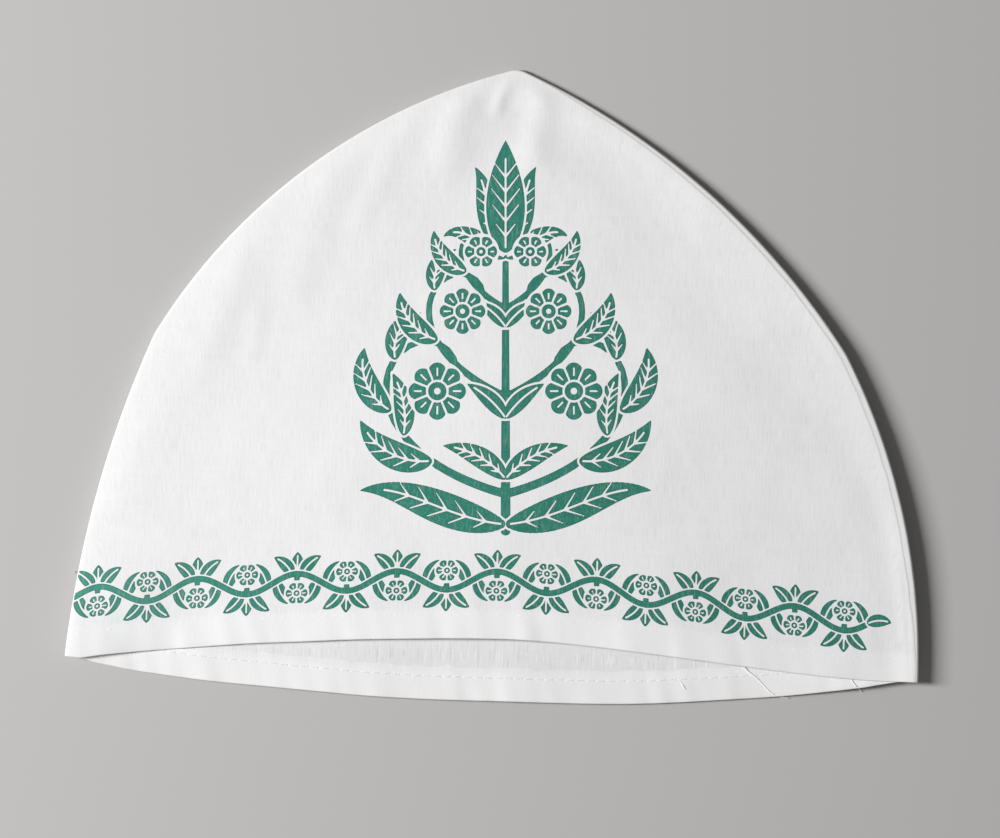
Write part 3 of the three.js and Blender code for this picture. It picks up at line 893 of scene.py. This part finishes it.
# %% Leaves, flowers and a whole plant
BARE_LINE, STEM_LINE = 0.75, 0.6  # left round leaves and flowers, and round stems on top
VEIN, VEIN_TIP = 0.36, 0.2  # half the width of a vein
VEIN_ANGLE, VEIN_REACH = math.radians(38), 1.2  # reach in half widths of the leaf
LARGE_LEAF = 3.0  # leaves with a half width above this have side veins
LARGE_FLOWER = 4.0  # petals of flowers with a radius above this have a crease
PETAL_GAP, CREASE_GAP = 0.4, 0.32  # half the width of a bare line between and in the petals
NOTCH, ROUNDNESS = 0.22, 0.7  # between the petals: its depth in radii, and how round they end
EYE_RING, EYE_DOT, GAPS_FROM = 0.36, 0.12, 0.4  # all in radii
CREASE_PLACE, CREASE_REACH = 0.68, 0.16


def leaf_distance(x, y, leaf):
    """The leaf's outline, and the leaf with its veins cut out."""
    line, half = leaf["line"], leaf["half"]
    whole = stroke_distance(x, y, line, half)
    veins = stroke_distance(x, y, line[1:-5], np.full(len(line) - 6, VEIN))
    for k in range(4, STROKE_STEPS - 7, 4) if half.max() > LARGE_LEAF else ():
        for side in (1, -1):
            way = leaf["heading"][k] + side * VEIN_ANGLE
            tip = line[k] + np.array([math.cos(way), math.sin(way)]) * half[k] * VEIN_REACH
            side_vein = stroke_distance(x, y, np.array([line[k], tip]), np.array([VEIN, VEIN_TIP]))
            veins = np.minimum(veins, side_vein)
    return whole, np.maximum(whole, -veins)


def flower_distance(x, y, centre, radius, petals):
    dx, dy = x - centre[0], y - centre[1]
    r, turn = np.hypot(dx, dy), np.arctan2(dy, dx) * petals / 2
    lobe = np.abs(np.cos(turn))
    petal_ends = r - radius * (1 - NOTCH + NOTCH * lobe**ROUNDNESS)
    across = r * 2 / petals
    gaps = np.where((lobe < 0.5) & (r > radius * GAPS_FROM), lobe * across - PETAL_GAP, DRAWN_REACH)
    if radius > LARGE_FLOWER:
        crease = (lobe > 0.9) & (np.abs(r / radius - CREASE_PLACE) < CREASE_REACH)
        creases = np.where(crease, np.abs(np.sin(turn)) * across - CREASE_GAP, DRAWN_REACH)
        gaps = np.minimum(gaps, creases)
    eye = np.minimum(np.abs(r - radius * EYE_RING) - PETAL_GAP, r - radius * EYE_DOT)
    return np.maximum(petal_ends, -np.minimum(gaps, eye))


def plant_distance(x, y, grown, flowers, stems_on_top=False):
    """Stems, leaves and flowers, each with a bare line round it where it lies over another."""
    stems = np.full(x.shape, DRAWN_REACH)
    stalks, leaves = ([s for s in grown.values() if s["kind"] == kind] for kind in ("stem", "leaf"))
    for stalk in stalks:
        stems = np.minimum(stems, stroke_distance(x, y, stalk["line"], stalk["half"]))
    ink = stems
    for leaf in leaves:
        whole, cut = leaf_distance(x, y, leaf)
        ink = np.minimum(np.maximum(ink, BARE_LINE - whole), cut)
    if stems_on_top:
        ink = np.minimum(np.maximum(ink, STEM_LINE - stems), stems)
    for name, radius, petals in flowers:
        centre = grown[name]["line"][-1]
        clear = radius + BARE_LINE - np.hypot(x - centre[0], y - centre[1])
        flower = flower_distance(x, y, centre, radius, petals)
        ink = np.minimum(np.maximum(ink, clear), flower)
    return ink


# %% The vine in its repeats


def vine_distance(u, v):
    """The vine waves along u, and every second repeat is the first one upside down."""
    t = np.linspace(0, 1, STROKE_STEPS + 1)
    line = np.column_stack([VINE_REPEAT * t, VINE_SWING * np.sin(np.pi * t)])
    heading = np.arctan(VINE_SWING * np.pi / VINE_REPEAT * np.cos(np.pi * t))
    vine = {"line": line, "heading": heading, "half": np.full(len(t), VINE_HALF), "kind": "stem"}
    grown = grow(VINE, {"vine": vine})
    repeat = np.floor(u / VINE_REPEAT)
    inside, upright = u - repeat * VINE_REPEAT, np.where(repeat % 2 == 0, 1, -1)
    ink = np.full(u.shape, DRAWN_REACH)
    for neighbour in (-1, 0, 1):
        way_up = upright if neighbour == 0 else -upright
        one = plant_distance(inside - neighbour * VINE_REPEAT, v * way_up, grown, VINE_FLOWERS, True)
        ink = np.minimum(ink, one)
    return ink


# %% [markdown]
# ## From stencil to ink
#
# The ink is a film on the cloth, with edges as sharp as the stencil's. A mask in the cloth's
# material would be as fine only with a very fine image. So the film is a mesh of its own: a grid
# of triangles is laid over the stencil and cut where the distance is nought. What is left is set
# on the cloth by the same height functions that the cloth was laid with.

# %% Cut a grid of triangles along the stencil
INK_CELL = 0.4
LEAST_SHARE = 0.03  # no cut comes nearer to a corner than this share of a side


def grid_triangles(rows, columns):
    numbers = np.arange(rows * columns).reshape(rows, columns)
    a, b = numbers[:-1, :-1].ravel(), numbers[:-1, 1:].ravel()
    c, d = numbers[1:, 1:].ravel(), numbers[1:, :-1].ravel()
    return np.concatenate([np.stack([a, b, c], -1), np.stack([a, c, d], -1)])


def cut_triangles(points, outside, triangles):
    """Keeps what lies where outside is less than nothing, and cuts the triangles on its edge."""
    inked = outside < 0
    count = inked[triangles].sum(1)

    def turned(rows, first):
        turn = np.argmax(first[rows], 1)
        return np.stack([rows[np.arange(len(rows)), (turn + k) % 3] for k in range(3)], -1)

    one = turned(triangles[count == 1], inked)
    two = turned(triangles[count == 2], ~inked)
    edges = np.concatenate([one[:, [0, 1]], one[:, [0, 2]], two[:, [0, 1]], two[:, [0, 2]]])
    edges, place = np.unique(np.sort(edges, 1), axis=0, return_inverse=True)
    place = place.ravel() + len(points)
    share = outside[edges[:, 0]] / (outside[edges[:, 0]] - outside[edges[:, 1]])
    share = np.clip(share, LEAST_SHARE, 1 - LEAST_SHARE)[:, None]
    crossings = points[edges[:, 0]] * (1 - share) + points[edges[:, 1]] * share
    one_ab, one_ac, two_ab, two_ac = np.split(place, np.cumsum([len(one), len(one), len(two)]))
    faces = np.concatenate([
        triangles[count == 3],
        np.stack([one[:, 0], one_ab, one_ac], -1),
        np.stack([two_ab, two[:, 1], two[:, 2]], -1),
        np.stack([two_ab, two[:, 2], two_ac], -1),
    ])
    points = np.concatenate([points, crossings])
    depth = np.concatenate([-outside, np.zeros(len(crossings))])
    used, faces = np.unique(faces, return_inverse=True)
    return points[used], depth[used], faces.reshape(-1, 3)


def grid_points(low, high):
    counts = [max(2, math.ceil((b - a) / INK_CELL)) for a, b in zip(low, high)]
    u, v = (np.linspace(a, b, n + 1) for a, b, n in zip(low, high, counts))
    across, up = np.meshgrid(u, v)
    return np.column_stack([across.ravel(), up.ravel()]), grid_triangles(len(v), len(u))


# %% Lay the ink on the front panel
INK_LIFT = 0.05  # over the cloth
TREE_FIELD = (-56, -3), (56, 136)  # lower left and upper right corner of what is drawn
TREE_FOOT = (3.3, 47.0)  # x and h
TREE_LEAN = math.radians(1.783)  # to the left
TREE_SCALE = 0.985
VINE_REACH = 12.6  # to both sides of its middle
TIP_LENGTH, TIP_OVERLAP = 10.0, 0.4
PRINT_MARGIN = 0.25  # bare cloth left at the left edge
VINE_ENDS = (-142.6, 127.2)  # along the hem, without the last leaf
VINE_MIDDLE = 19.4  # above the hem's fold
VINE_REPEATS = 16


def print_ink(name, points, depth, faces):
    """A film of ink. points are x and h on the front panel, depth is how far inside the ink."""
    x, h = points.T
    height = panel_height("front", x, h) + INK_LIFT
    piece = new_mesh(name, np.column_stack([x, h, height]), faces.tolist())
    keep_places(piece, "cut", np.column_stack([x, h, depth]))
    print(name, len(faces), "triangles")
    return piece


def print_tree():
    grid, triangles = grid_points(*TREE_FIELD)
    outside = plant_distance(np.abs(grid[:, 0]), grid[:, 1], grow(TREE), TREE_FLOWERS)
    points, depth, faces = cut_triangles(grid, outside, triangles)
    x, y = (points * TREE_SCALE).T
    lean_cos, lean_sin = math.cos(TREE_LEAN), math.sin(TREE_LEAN)
    spots = np.column_stack([x * lean_cos - y * lean_sin, x * lean_sin + y * lean_cos])
    return print_ink("tree_print", spots + np.array(TREE_FOOT), depth, faces)


def print_vine():
    end = VINE_REPEATS * VINE_REPEAT
    scale = (VINE_ENDS[1] - VINE_ENDS[0]) / end
    grid, triangles = grid_points((-1, -VINE_REACH), (end + TIP_LENGTH, VINE_REACH))
    u, v = grid.T
    outside = np.maximum(vine_distance(u, v), np.maximum(-u, u - end))
    whole, leaf = leaf_distance(u - end + TIP_OVERLAP, v, grow(VINE_TIP)["end leaf"])
    outside = np.minimum(np.maximum(outside, BARE_LINE - whole), leaf)
    points, depth, faces = cut_triangles(grid, outside, triangles)
    run = VINE_ENDS[0] + points[:, 0] * scale
    x, h = hem_spot("front", run, VINE_MIDDLE + points[:, 1] * scale)
    keep = (distance_to("left", x, h) > PRINT_MARGIN)[faces].all(1)
    return print_ink("vine_print", np.column_stack([x, h]), depth, faces[keep])


prints = [print_tree(), print_vine()]

# %% [markdown]
# ## Finishes
#
# Cotton is matt, with a faint sheen where its fibres catch the light along the edges. Plain weave
# crosses the threads one over one, some threads are thicker for a few millimetres, and no two are
# quite the same white. The front, the back and the ink all show that weave, so it is made once as
# node groups, which put out heights and tones, and each material mixes them in its own way. A
# photograph of cloth would do the same for one size and one light only.

# %% Helpers that keep the node trees short


def feed(tree, node, values):
    """Fills sockets by name or number, from another node's output or with a number or colour."""
    for name, value in values.items():
        if isinstance(value, bpy.types.NodeSocket):
            tree.links.new(value, node.inputs[name])
        else:
            node.inputs[name].default_value = value


def add_node(tree, kind, values=None, **settings):
    node = tree.nodes.new(kind)
    for name, value in settings.items():
        setattr(node, name, value)
    feed(tree, node, values or {})
    return node


def maths(tree, operation, *values):
    return add_node(tree, "ShaderNodeMath", dict(enumerate(values)), operation=operation).outputs[0]


def times(tree, first, second):
    return maths(tree, "MULTIPLY", first, second)


def vector_maths(tree, operation, *values):
    return add_node(tree, "ShaderNodeVectorMath", dict(enumerate(values)), operation=operation).outputs


def stretched(tree, vector, across, up):
    """The same places with x and y counted in other units."""
    return vector_maths(tree, "MULTIPLY", vector, (across, up, 1.0))[0]


def parts(tree, vector):
    return add_node(tree, "ShaderNodeSeparateXYZ", {0: vector}).outputs


def noise(tree, vector, scale, detail=2.0, roughness=0.5, output=0):
    values = {"Vector": vector, "Scale": scale, "Detail": detail, "Roughness": roughness}
    return add_node(tree, "ShaderNodeTexNoise", values).outputs[output]


def between(tree, value, low, high, to_low=0.0, to_high=1.0):
    """Turns a range of values into another, softly at both ends."""
    values = {"Value": value, "From Min": low, "From Max": high, "To Min": to_low, "To Max": to_high}
    return add_node(tree, "ShaderNodeMapRange", values, interpolation_type="SMOOTHSTEP").outputs[0]


# %% Helpers for node groups


def new_group(name, inputs, outputs):
    """A shader node group with named sockets: kinds are the last words of the socket types."""
    group = bpy.data.node_groups.new(name, "ShaderNodeTree")
    for title, kind in inputs:
        group.interface.new_socket(title, in_out="INPUT", socket_type="NodeSocket" + kind)
    for title in outputs:
        group.interface.new_socket(title, in_out="OUTPUT", socket_type="NodeSocketFloat")
    return group, group.nodes.new("NodeGroupInput").outputs, group.nodes.new("NodeGroupOutput")


def use_group(tree, group, **values):
    named = {name.capitalize(): value for name, value in values.items()}
    return add_node(tree, "ShaderNodeGroup", named, node_tree=group).outputs


# %% The plain weave
WARP_SHARE, WEFT_SHARE = 0.6, 0.4  # of the tone
ACROSS_THREAD, ALONG_THREAD = 0.9, 0.02  # how fast the tone changes


def make_plain_weave():
    group, given, result = new_group(
        "plain_weave", [("Cut", "Vector"), ("Threads", "Float")], ["Height", "Tone"]
    )
    wander = noise(group, given["Cut"], 0.3, 1.0, output="Color")
    place = vector_maths(group, "ADD", given["Cut"], wander)[0]
    counted = add_node(
        group, "ShaderNodeVectorMath", {0: place, "Scale": given["Threads"]}, operation="SCALE"
    ).outputs[0]
    split = parts(group, counted)
    wave_x, wave_y = (maths(group, "SINE", times(group, split[k], math.pi)) for k in (0, 1))
    bump = maths(group, "POWER", maths(group, "ABSOLUTE", times(group, wave_x, wave_y)), 0.6)
    warp = noise(group, stretched(group, counted, ACROSS_THREAD, ALONG_THREAD), 1.0, 1.0)
    weft = noise(group, stretched(group, counted, ALONG_THREAD, ACROSS_THREAD), 1.0, 1.0)
    tone = maths(group, "ADD", times(group, warp, WARP_SHARE), times(group, weft, WEFT_SHARE))
    feed(group, result, {"Height": maths(group, "MULTIPLY_ADD", tone, 0.8, bump), "Tone": tone})
    return group


plain_weave = make_plain_weave()
print("plain weave:", len(plain_weave.nodes), "nodes")


# %% Slubs and thin places: where a thread is spun thicker, and where it is finer
SLUB_EDGE = 0.08  # how softly a slub begins
LEVEL_SHARE = 0.3  # slubs in the weft show less


def make_slubs():
    group, given, result = new_group("slubs", [("Cut", "Vector"), ("Rarity", "Float")], ["Slub", "Thin"])

    def over_rarity(found):
        return between(group, maths(group, "SUBTRACT", found, given["Rarity"]), 0.0, SLUB_EDGE)

    upright = noise(group, stretched(group, given["Cut"], 2.3, 0.20), 1.0, 0.0)
    level = noise(group, stretched(group, given["Cut"], 0.19, 2.4), 1.0, 0.0)
    slub = maths(group, "MAXIMUM", over_rarity(upright), times(group, over_rarity(level), LEVEL_SHARE))
    feed(group, result, {"Slub": slub, "Thin": over_rarity(maths(group, "SUBTRACT", 1.0, upright))})
    return group


slubs = make_slubs()
print("slubs:", len(slubs.nodes), "nodes")


# %% Needle holes between the stitches, where the cotton paints shade
HOLE_RADIUS, HOLE_RIM = 0.14, 0.38


def make_needle_holes():
    group, given, result = new_group(
        "needle_holes", [("Hem", "Vector"), ("Row", "Float"), ("Pitch", "Float")], ["Hole"]
    )
    split = parts(group, given["Hem"])
    counted = maths(group, "DIVIDE", split[0], given["Pitch"])
    nearest = maths(group, "SUBTRACT", counted, maths(group, "ROUND", counted))
    along = times(group, nearest, given["Pitch"])
    up = maths(group, "SUBTRACT", split[1], given["Row"])
    squares = maths(group, "ADD", times(group, along, along), times(group, up, up))
    hole = between(group, maths(group, "SQRT", squares), HOLE_RADIUS, HOLE_RIM, 1.0, 0.0)
    feed(group, result, {"Hole": hole})
    return group


needle_holes = make_needle_holes()
print("needle holes:", len(needle_holes.nodes), "nodes")

# %% [markdown]
# ## Cotton, ink and thread
#
# The cotton is one recipe for both panels, with the row of needle holes where each panel has it, painted
# dark as shade. Painted shade also greys the cloth's wrong side, a little of the back panel and the edge
# beside the seam, and painted light whitens the doubled hem.
# The ink lies in the same weave, a little smoother, darker along the stencil's edges where more
# of it gathers, and thin in specks where it missed the cloth. The thread is brighter than the
# cloth and a little glossy, as mercerised thread is, with its twist as a fine slanting bump.

# %% Start a material


def new_material(name):
    """A material with nothing but a Principled shader."""
    material = bpy.data.materials.new(name)
    material.use_nodes = True
    tree = material.node_tree
    tree.nodes.clear()
    shader = tree.nodes.new("ShaderNodeBsdfPrincipled")
    output = tree.nodes.new("ShaderNodeOutputMaterial")
    tree.links.new(shader.outputs[0], output.inputs["Surface"])
    return material, tree, shader


def kept_place(tree, name):
    """Reads a vector that was stored for each vertex."""
    return add_node(tree, "ShaderNodeAttribute", attribute_name=name).outputs["Vector"]


def mixed(tree, share, first, second):
    """A colour between two, by a share that changes over the surface."""
    first, second = ((*c, 1.0) if isinstance(c, tuple) else c for c in (first, second))
    values = {0: share, 6: first, 7: second}
    return add_node(tree, "ShaderNodeMix", values, data_type="RGBA").outputs[2]


def grey(value):
    return (value, value, value)


def bumped(tree, height, distance_mm, strength):
    values = {"Height": height, "Distance": distance_mm / 1000, "Strength": strength}
    return add_node(tree, "ShaderNodeBump", values).outputs[0]


# %% White cotton
THREADS_PER_MM = 2.3
SLUB_RARITY, COARSE_RARITY = 0.60, 0.675
WEAVE_DEPTH = 0.04
STRIP_EDGE = (HEM_DEPTH - 2.0, HEM_DEPTH - 0.6)  # where the strip's second layer ends
STRIP_FRAY = 7.0  # how unevenly it ends
# a real ink stain, then the painted shade beside the seam and in the needle holes
STAINED, SEAM_PAINTED_SHADE, HOLE_PAINTED_SHADE = (0.62, 0.83, 0.74), (0.62, 0.60, 0.57), (0.30, 0.29, 0.28)


def make_cotton(name, light, dark, doubled_painted_light, row, painted_hole_share, stain=None):
    """The third colour paints light on the hem: it is whiter where two layers let less light through."""
    material, tree, shader = new_material(name)
    cut, hem = kept_place(tree, "cut"), kept_place(tree, "hem")
    # inside is 1 on the cloth's wrong side, which painted shade makes greyer
    inside, hem_place = parts(tree, cut)[2], parts(tree, hem)
    weave = use_group(tree, plain_weave, cut=cut, threads=THREADS_PER_MM)
    uneven = use_group(tree, slubs, cut=cut, rarity=SLUB_RARITY)
    coarse = use_group(tree, slubs, cut=stretched(tree, cut, 0.6, 0.62), rarity=COARSE_RARITY)
    hole = use_group(tree, needle_holes, hem=hem, row=row, pitch=STITCH_PITCH)["Hole"]
    cloud = noise(tree, cut, 0.045, 3.0, 0.6)
    tone = maths(tree, "ADD", times(tree, weave["Tone"], 0.6), times(tree, cloud, 0.4))
    colour = mixed(tree, between(tree, tone, 0.3, 0.7), dark, light)
    for mask, share, tint in (
        (inside, 0.7, 0.74),  # painted shade: seen from inside, the wrong side's one layer looks greyer
        (uneven["Slub"], 0.14, 0.95),
        (uneven["Thin"], 0.14, 0.60),
        (times(tree, coarse["Slub"], inside), 0.32, 0.97),
        (times(tree, coarse["Thin"], inside), 0.32, 0.52),
    ):
        colour = mixed(tree, times(tree, mask, share), colour, grey(tint))
    if stain:
        colour = mixed(tree, ink_stain(tree, cut, *stain), colour, STAINED)
    fray = noise(tree, stretched(tree, hem, 2.0, 0.12), 1.0, 1.0)
    lowered = maths(tree, "SUBTRACT", hem_place[1], STRIP_FRAY / 2)
    ragged = maths(tree, "MULTIPLY_ADD", fray, STRIP_FRAY, lowered)
    # painted light: the doubled hem is whiter, with a ragged edge where the strip ends
    colour = mixed(tree, between(tree, ragged, *STRIP_EDGE, 0.7, 0.0), colour, doubled_painted_light)
    # painted shade beside the seam, a little warm as light bounces in its fold
    colour = mixed(tree, between(tree, hem_place[2], 0.1, 0.7, 0.52, 0.0), colour, SEAM_PAINTED_SHADE)
    # painted shade in the needle holes
    colour = mixed(tree, times(tree, hole, painted_hole_share), colour, HOLE_PAINTED_SHADE)
    height = maths(tree, "MULTIPLY_ADD", uneven["Slub"], 0.6, weave["Height"])
    feed(tree, shader, {
        "Base Color": colour, "Normal": bumped(tree, height, WEAVE_DEPTH, 0.3),
        "Roughness": between(tree, tone, 0.2, 0.8, 0.93, 0.86),
        "Sheen Weight": 0.08, "Sheen Roughness": 0.5, "Specular IOR Level": 0.25,
    })
    return material


def ink_stain(tree, cut, x, h, half_length, half_height):
    """A mask for the place where a little ink has spread in the wet cloth."""
    moved = vector_maths(tree, "ADD", cut, (-x, -h, 0.0))[0]
    scaled = vector_maths(tree, "MULTIPLY", moved, (1 / half_length, 1 / half_height, 0.0))[0]
    away = vector_maths(tree, "LENGTH", scaled)["Value"]
    uneven = maths(tree, "MULTIPLY_ADD", noise(tree, cut, 0.25, 2.0), 0.9, away)
    return between(tree, uneven, 0.6, 1.3, 0.32, 0.0)


front_cotton = make_cotton(
    "front_cotton", grey(0.855), grey(0.80), grey(0.872), STITCH_ROW["front"], 0.04,
    stain=(-124, 13, 14, 5),
)
# The back's tones, its doubled hem most, are a little darker than the front's: painted shade, as its
# strip lies in the shade of the mouth.
back_cotton = make_cotton(
    "back_cotton", grey(0.845), grey(0.795), grey(0.855), STITCH_ROW["back"], 0.32
)
print("front cotton:", len(front_cotton.node_tree.nodes), "nodes")


# %% Green ink
INK_LIGHT, INK_DARK = (0.032, 0.256, 0.188), (0.021, 0.205, 0.148)
MISSED_CLOTH = (0.60, 0.68, 0.64)


def make_ink():
    material, tree, shader = new_material("green_ink")
    cut = kept_place(tree, "cut")
    across, _, depth = parts(tree, cut)
    weave = use_group(tree, plain_weave, cut=cut, threads=THREADS_PER_MM)
    slub = use_group(tree, slubs, cut=cut, rarity=SLUB_RARITY)["Slub"]
    patches = noise(tree, cut, 0.16, 3.0, 0.6)
    streaks = noise(tree, stretched(tree, cut, 0.9, 0.12), 1.0, 1.0)
    colour = mixed(tree, between(tree, patches, 0.3, 0.7), INK_DARK, INK_LIGHT)
    for *mask, tint in (
        (weave["Tone"], 0.3, 0.7, 0.0, 0.45, (0.020, 0.180, 0.130)),
        (streaks, 0.5, 0.75, 0.0, 0.5, (0.080, 0.325, 0.255)),
        (across, -70, 50, 0.0, 0.45, (0.015, 0.158, 0.116)),  # darker from the middle on
        (across, -140, -50, 0.5, 0.0, (0.085, 0.320, 0.255)),  # and lighter at the left
        (depth, 0.0, 0.55, 0.8, 0.0, (0.018, 0.142, 0.102)),  # the stencil's edge
    ):
        colour = mixed(tree, between(tree, *mask), colour, tint)
    missed = between(tree, noise(tree, cut, 2.4, 2.0, 0.7), 0.69, 0.80, 0.0, 0.55)
    bare = maths(tree, "MAXIMUM", missed, times(tree, slub, 0.12))
    height = maths(tree, "MULTIPLY_ADD", slub, 1.2, weave["Height"])
    feed(tree, shader, {
        "Base Color": mixed(tree, bare, colour, MISSED_CLOTH),
        "Normal": bumped(tree, height, WEAVE_DEPTH, 0.45),
        "Roughness": between(tree, patches, 0.2, 0.8, 0.70, 0.82), "Specular IOR Level": 0.28,
    })
    return material


# %% White thread
TWIST_SCALE, FIBRE_SCALE = 1400.0, 3000.0
TWIST_DEPTH = 0.03
THREAD_DARK, THREAD_LIGHT = (0.86, 0.86, 0.85), (0.95, 0.95, 0.94)


def make_thread():
    material, tree, shader = new_material("thread")
    place = add_node(tree, "ShaderNodeNewGeometry").outputs["Position"]
    twist = add_node(
        tree, "ShaderNodeTexWave", {"Vector": place, "Scale": TWIST_SCALE},
        wave_type="BANDS", bands_direction="DIAGONAL",
    ).outputs["Fac"]
    fibres = noise(tree, place, FIBRE_SCALE, 1.0)
    feed(tree, shader, {
        "Base Color": mixed(tree, fibres, THREAD_DARK, THREAD_LIGHT),
        "Normal": bumped(tree, twist, TWIST_DEPTH, 0.5),
        "Roughness": between(tree, fibres, 0.2, 0.8, 0.5, 0.65), "Sheen Weight": 0.1,
    })
    return material


green_ink, thread = make_ink(), make_thread()
print("ink:", len(green_ink.node_tree.nodes), "nodes; thread:", len(thread.node_tree.nodes), "nodes")

# %% [markdown]
# ## Put the pieces on the frame
#
# Each piece rides on the cap's one body and takes its finish, and the two cloths stand for the solids
# that they replace, which are hidden. The flat area of cotton that each cloth was cut from is worked
# out.

# %% Attach the pieces, give them their finishes, and work out the cloths' cut area
for piece, material, slot in (
    (front_cloth, front_cotton, "front_cotton"),
    (back_cloth, back_cotton, "back_cotton"),
    *[(piece, green_ink, "print_ink") for piece in prints],
    *[(piece, thread, "thread") for piece in (*stitch_rows, *loose_ends)],
):
    piece.data.materials.append(material)
    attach(piece, "root")

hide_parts("front_panel", "front_hem")
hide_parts("back_panel", "back_hem")


def cut_area(face):
    """Flat area in square metres of a panel with its turned-up strip."""
    x = np.linspace(-HALF_MOUTH, HALF_MOUTH, 2000)
    top = np.interp(x, OUTLINE[:, 0], OUTLINE[:, 1])
    return np.mean(top - hem_height(face, x) + HEM_DEPTH) * 2 * HALF_MOUTH / 1e6


for piece, face in ((front_cloth, "front"), (back_cloth, "back")):
    area = cut_area(face)
    print(piece.name, "cut area", round(area, 4), "m2")

# %% [markdown]
# ## Floor, light and camera
#
# The cap is looked at straight from above, turned as in the photograph. The camera stands far
# off with a long lens, so that height hardly changes the size of anything. A broad light almost
# straight from the left models the left edge and the folds, and lays a soft shadow along the
# right one. A sky of one grey fills in the rest. Blender's usual view transform greys
# bright whites to keep lamps and suns in range. There is nothing brighter than cotton here, so
# the standard one is set, which shows the cotton's white as it is.

# %% The floor
FLOOR_REACH, FLOOR_Z = 3.0, -0.0002
FLOOR_COLOUR = (0.50, 0.49, 0.48, 1.0)


def make_floor():
    mesh = bpy.data.meshes.new("floor")
    around = (-1, -1), (1, -1), (1, 1), (-1, 1)
    corners = [(x * FLOOR_REACH, y * FLOOR_REACH, FLOOR_Z) for x, y in around]
    mesh.from_pydata(corners, [], [[0, 1, 2, 3]])
    material, tree, shader = new_material("floor")
    feed(tree, shader, {"Base Color": FLOOR_COLOUR, "Roughness": 0.9, "Specular IOR Level": 0.1})
    mesh.materials.append(material)
    new_object("floor", mesh)
    print("floor", 2 * FLOOR_REACH, "m wide")


make_floor()

# %% The light
KEY_WAY = (-0.73, 0.040, 0.68)  # towards the light
KEY_DISTANCE = 1.9
KEY_SIZE = (0.35, 0.95)  # along the cap's sides, and upright
KEY_WATTS, SKY_STRENGTH = 43.8, 0.15


def make_light():
    data = bpy.data.lights.new("key", "AREA")
    data.shape = "RECTANGLE"
    data.size, data.size_y = KEY_SIZE
    data.energy = KEY_WATTS
    light = new_object("key", data)
    way = np.array(KEY_WAY) / np.linalg.norm(KEY_WAY)
    light.location = way * KEY_DISTANCE
    light.rotation_mode = "QUATERNION"
    light.rotation_quaternion = light.location.to_track_quat("Z", "Y")
    world = bpy.data.worlds.new("sky")
    world.use_nodes = True
    sky = world.node_tree.nodes["Background"]
    feed(world.node_tree, sky, {"Color": (1.0, 1.0, 1.0, 1.0), "Strength": SKY_STRENGTH})
    bpy.context.scene.world = world
    print("key light at", [round(value, 2) for value in light.location])


make_light()

# %% The camera
CAMERA_HEIGHT = 2.0
CAMERA_SPOT = (0.00028, -0.01137)
CAMERA_TURN = math.radians(1.783)
PICTURE_WIDTH = 0.33814  # metres across the picture, at the cap
SENSOR_WIDTH = 36.0


def make_camera():
    data = bpy.data.cameras.new("camera")
    data.sensor_width = SENSOR_WIDTH
    data.lens = SENSOR_WIDTH * CAMERA_HEIGHT / PICTURE_WIDTH
    camera = new_object("camera", data)
    camera.location = (*CAMERA_SPOT, CAMERA_HEIGHT)
    camera.rotation_euler = (0, 0, CAMERA_TURN)
    bpy.context.scene.camera = camera
    bpy.context.scene.view_settings.view_transform = "Standard"
    print("lens", round(data.lens), "mm")


make_camera()
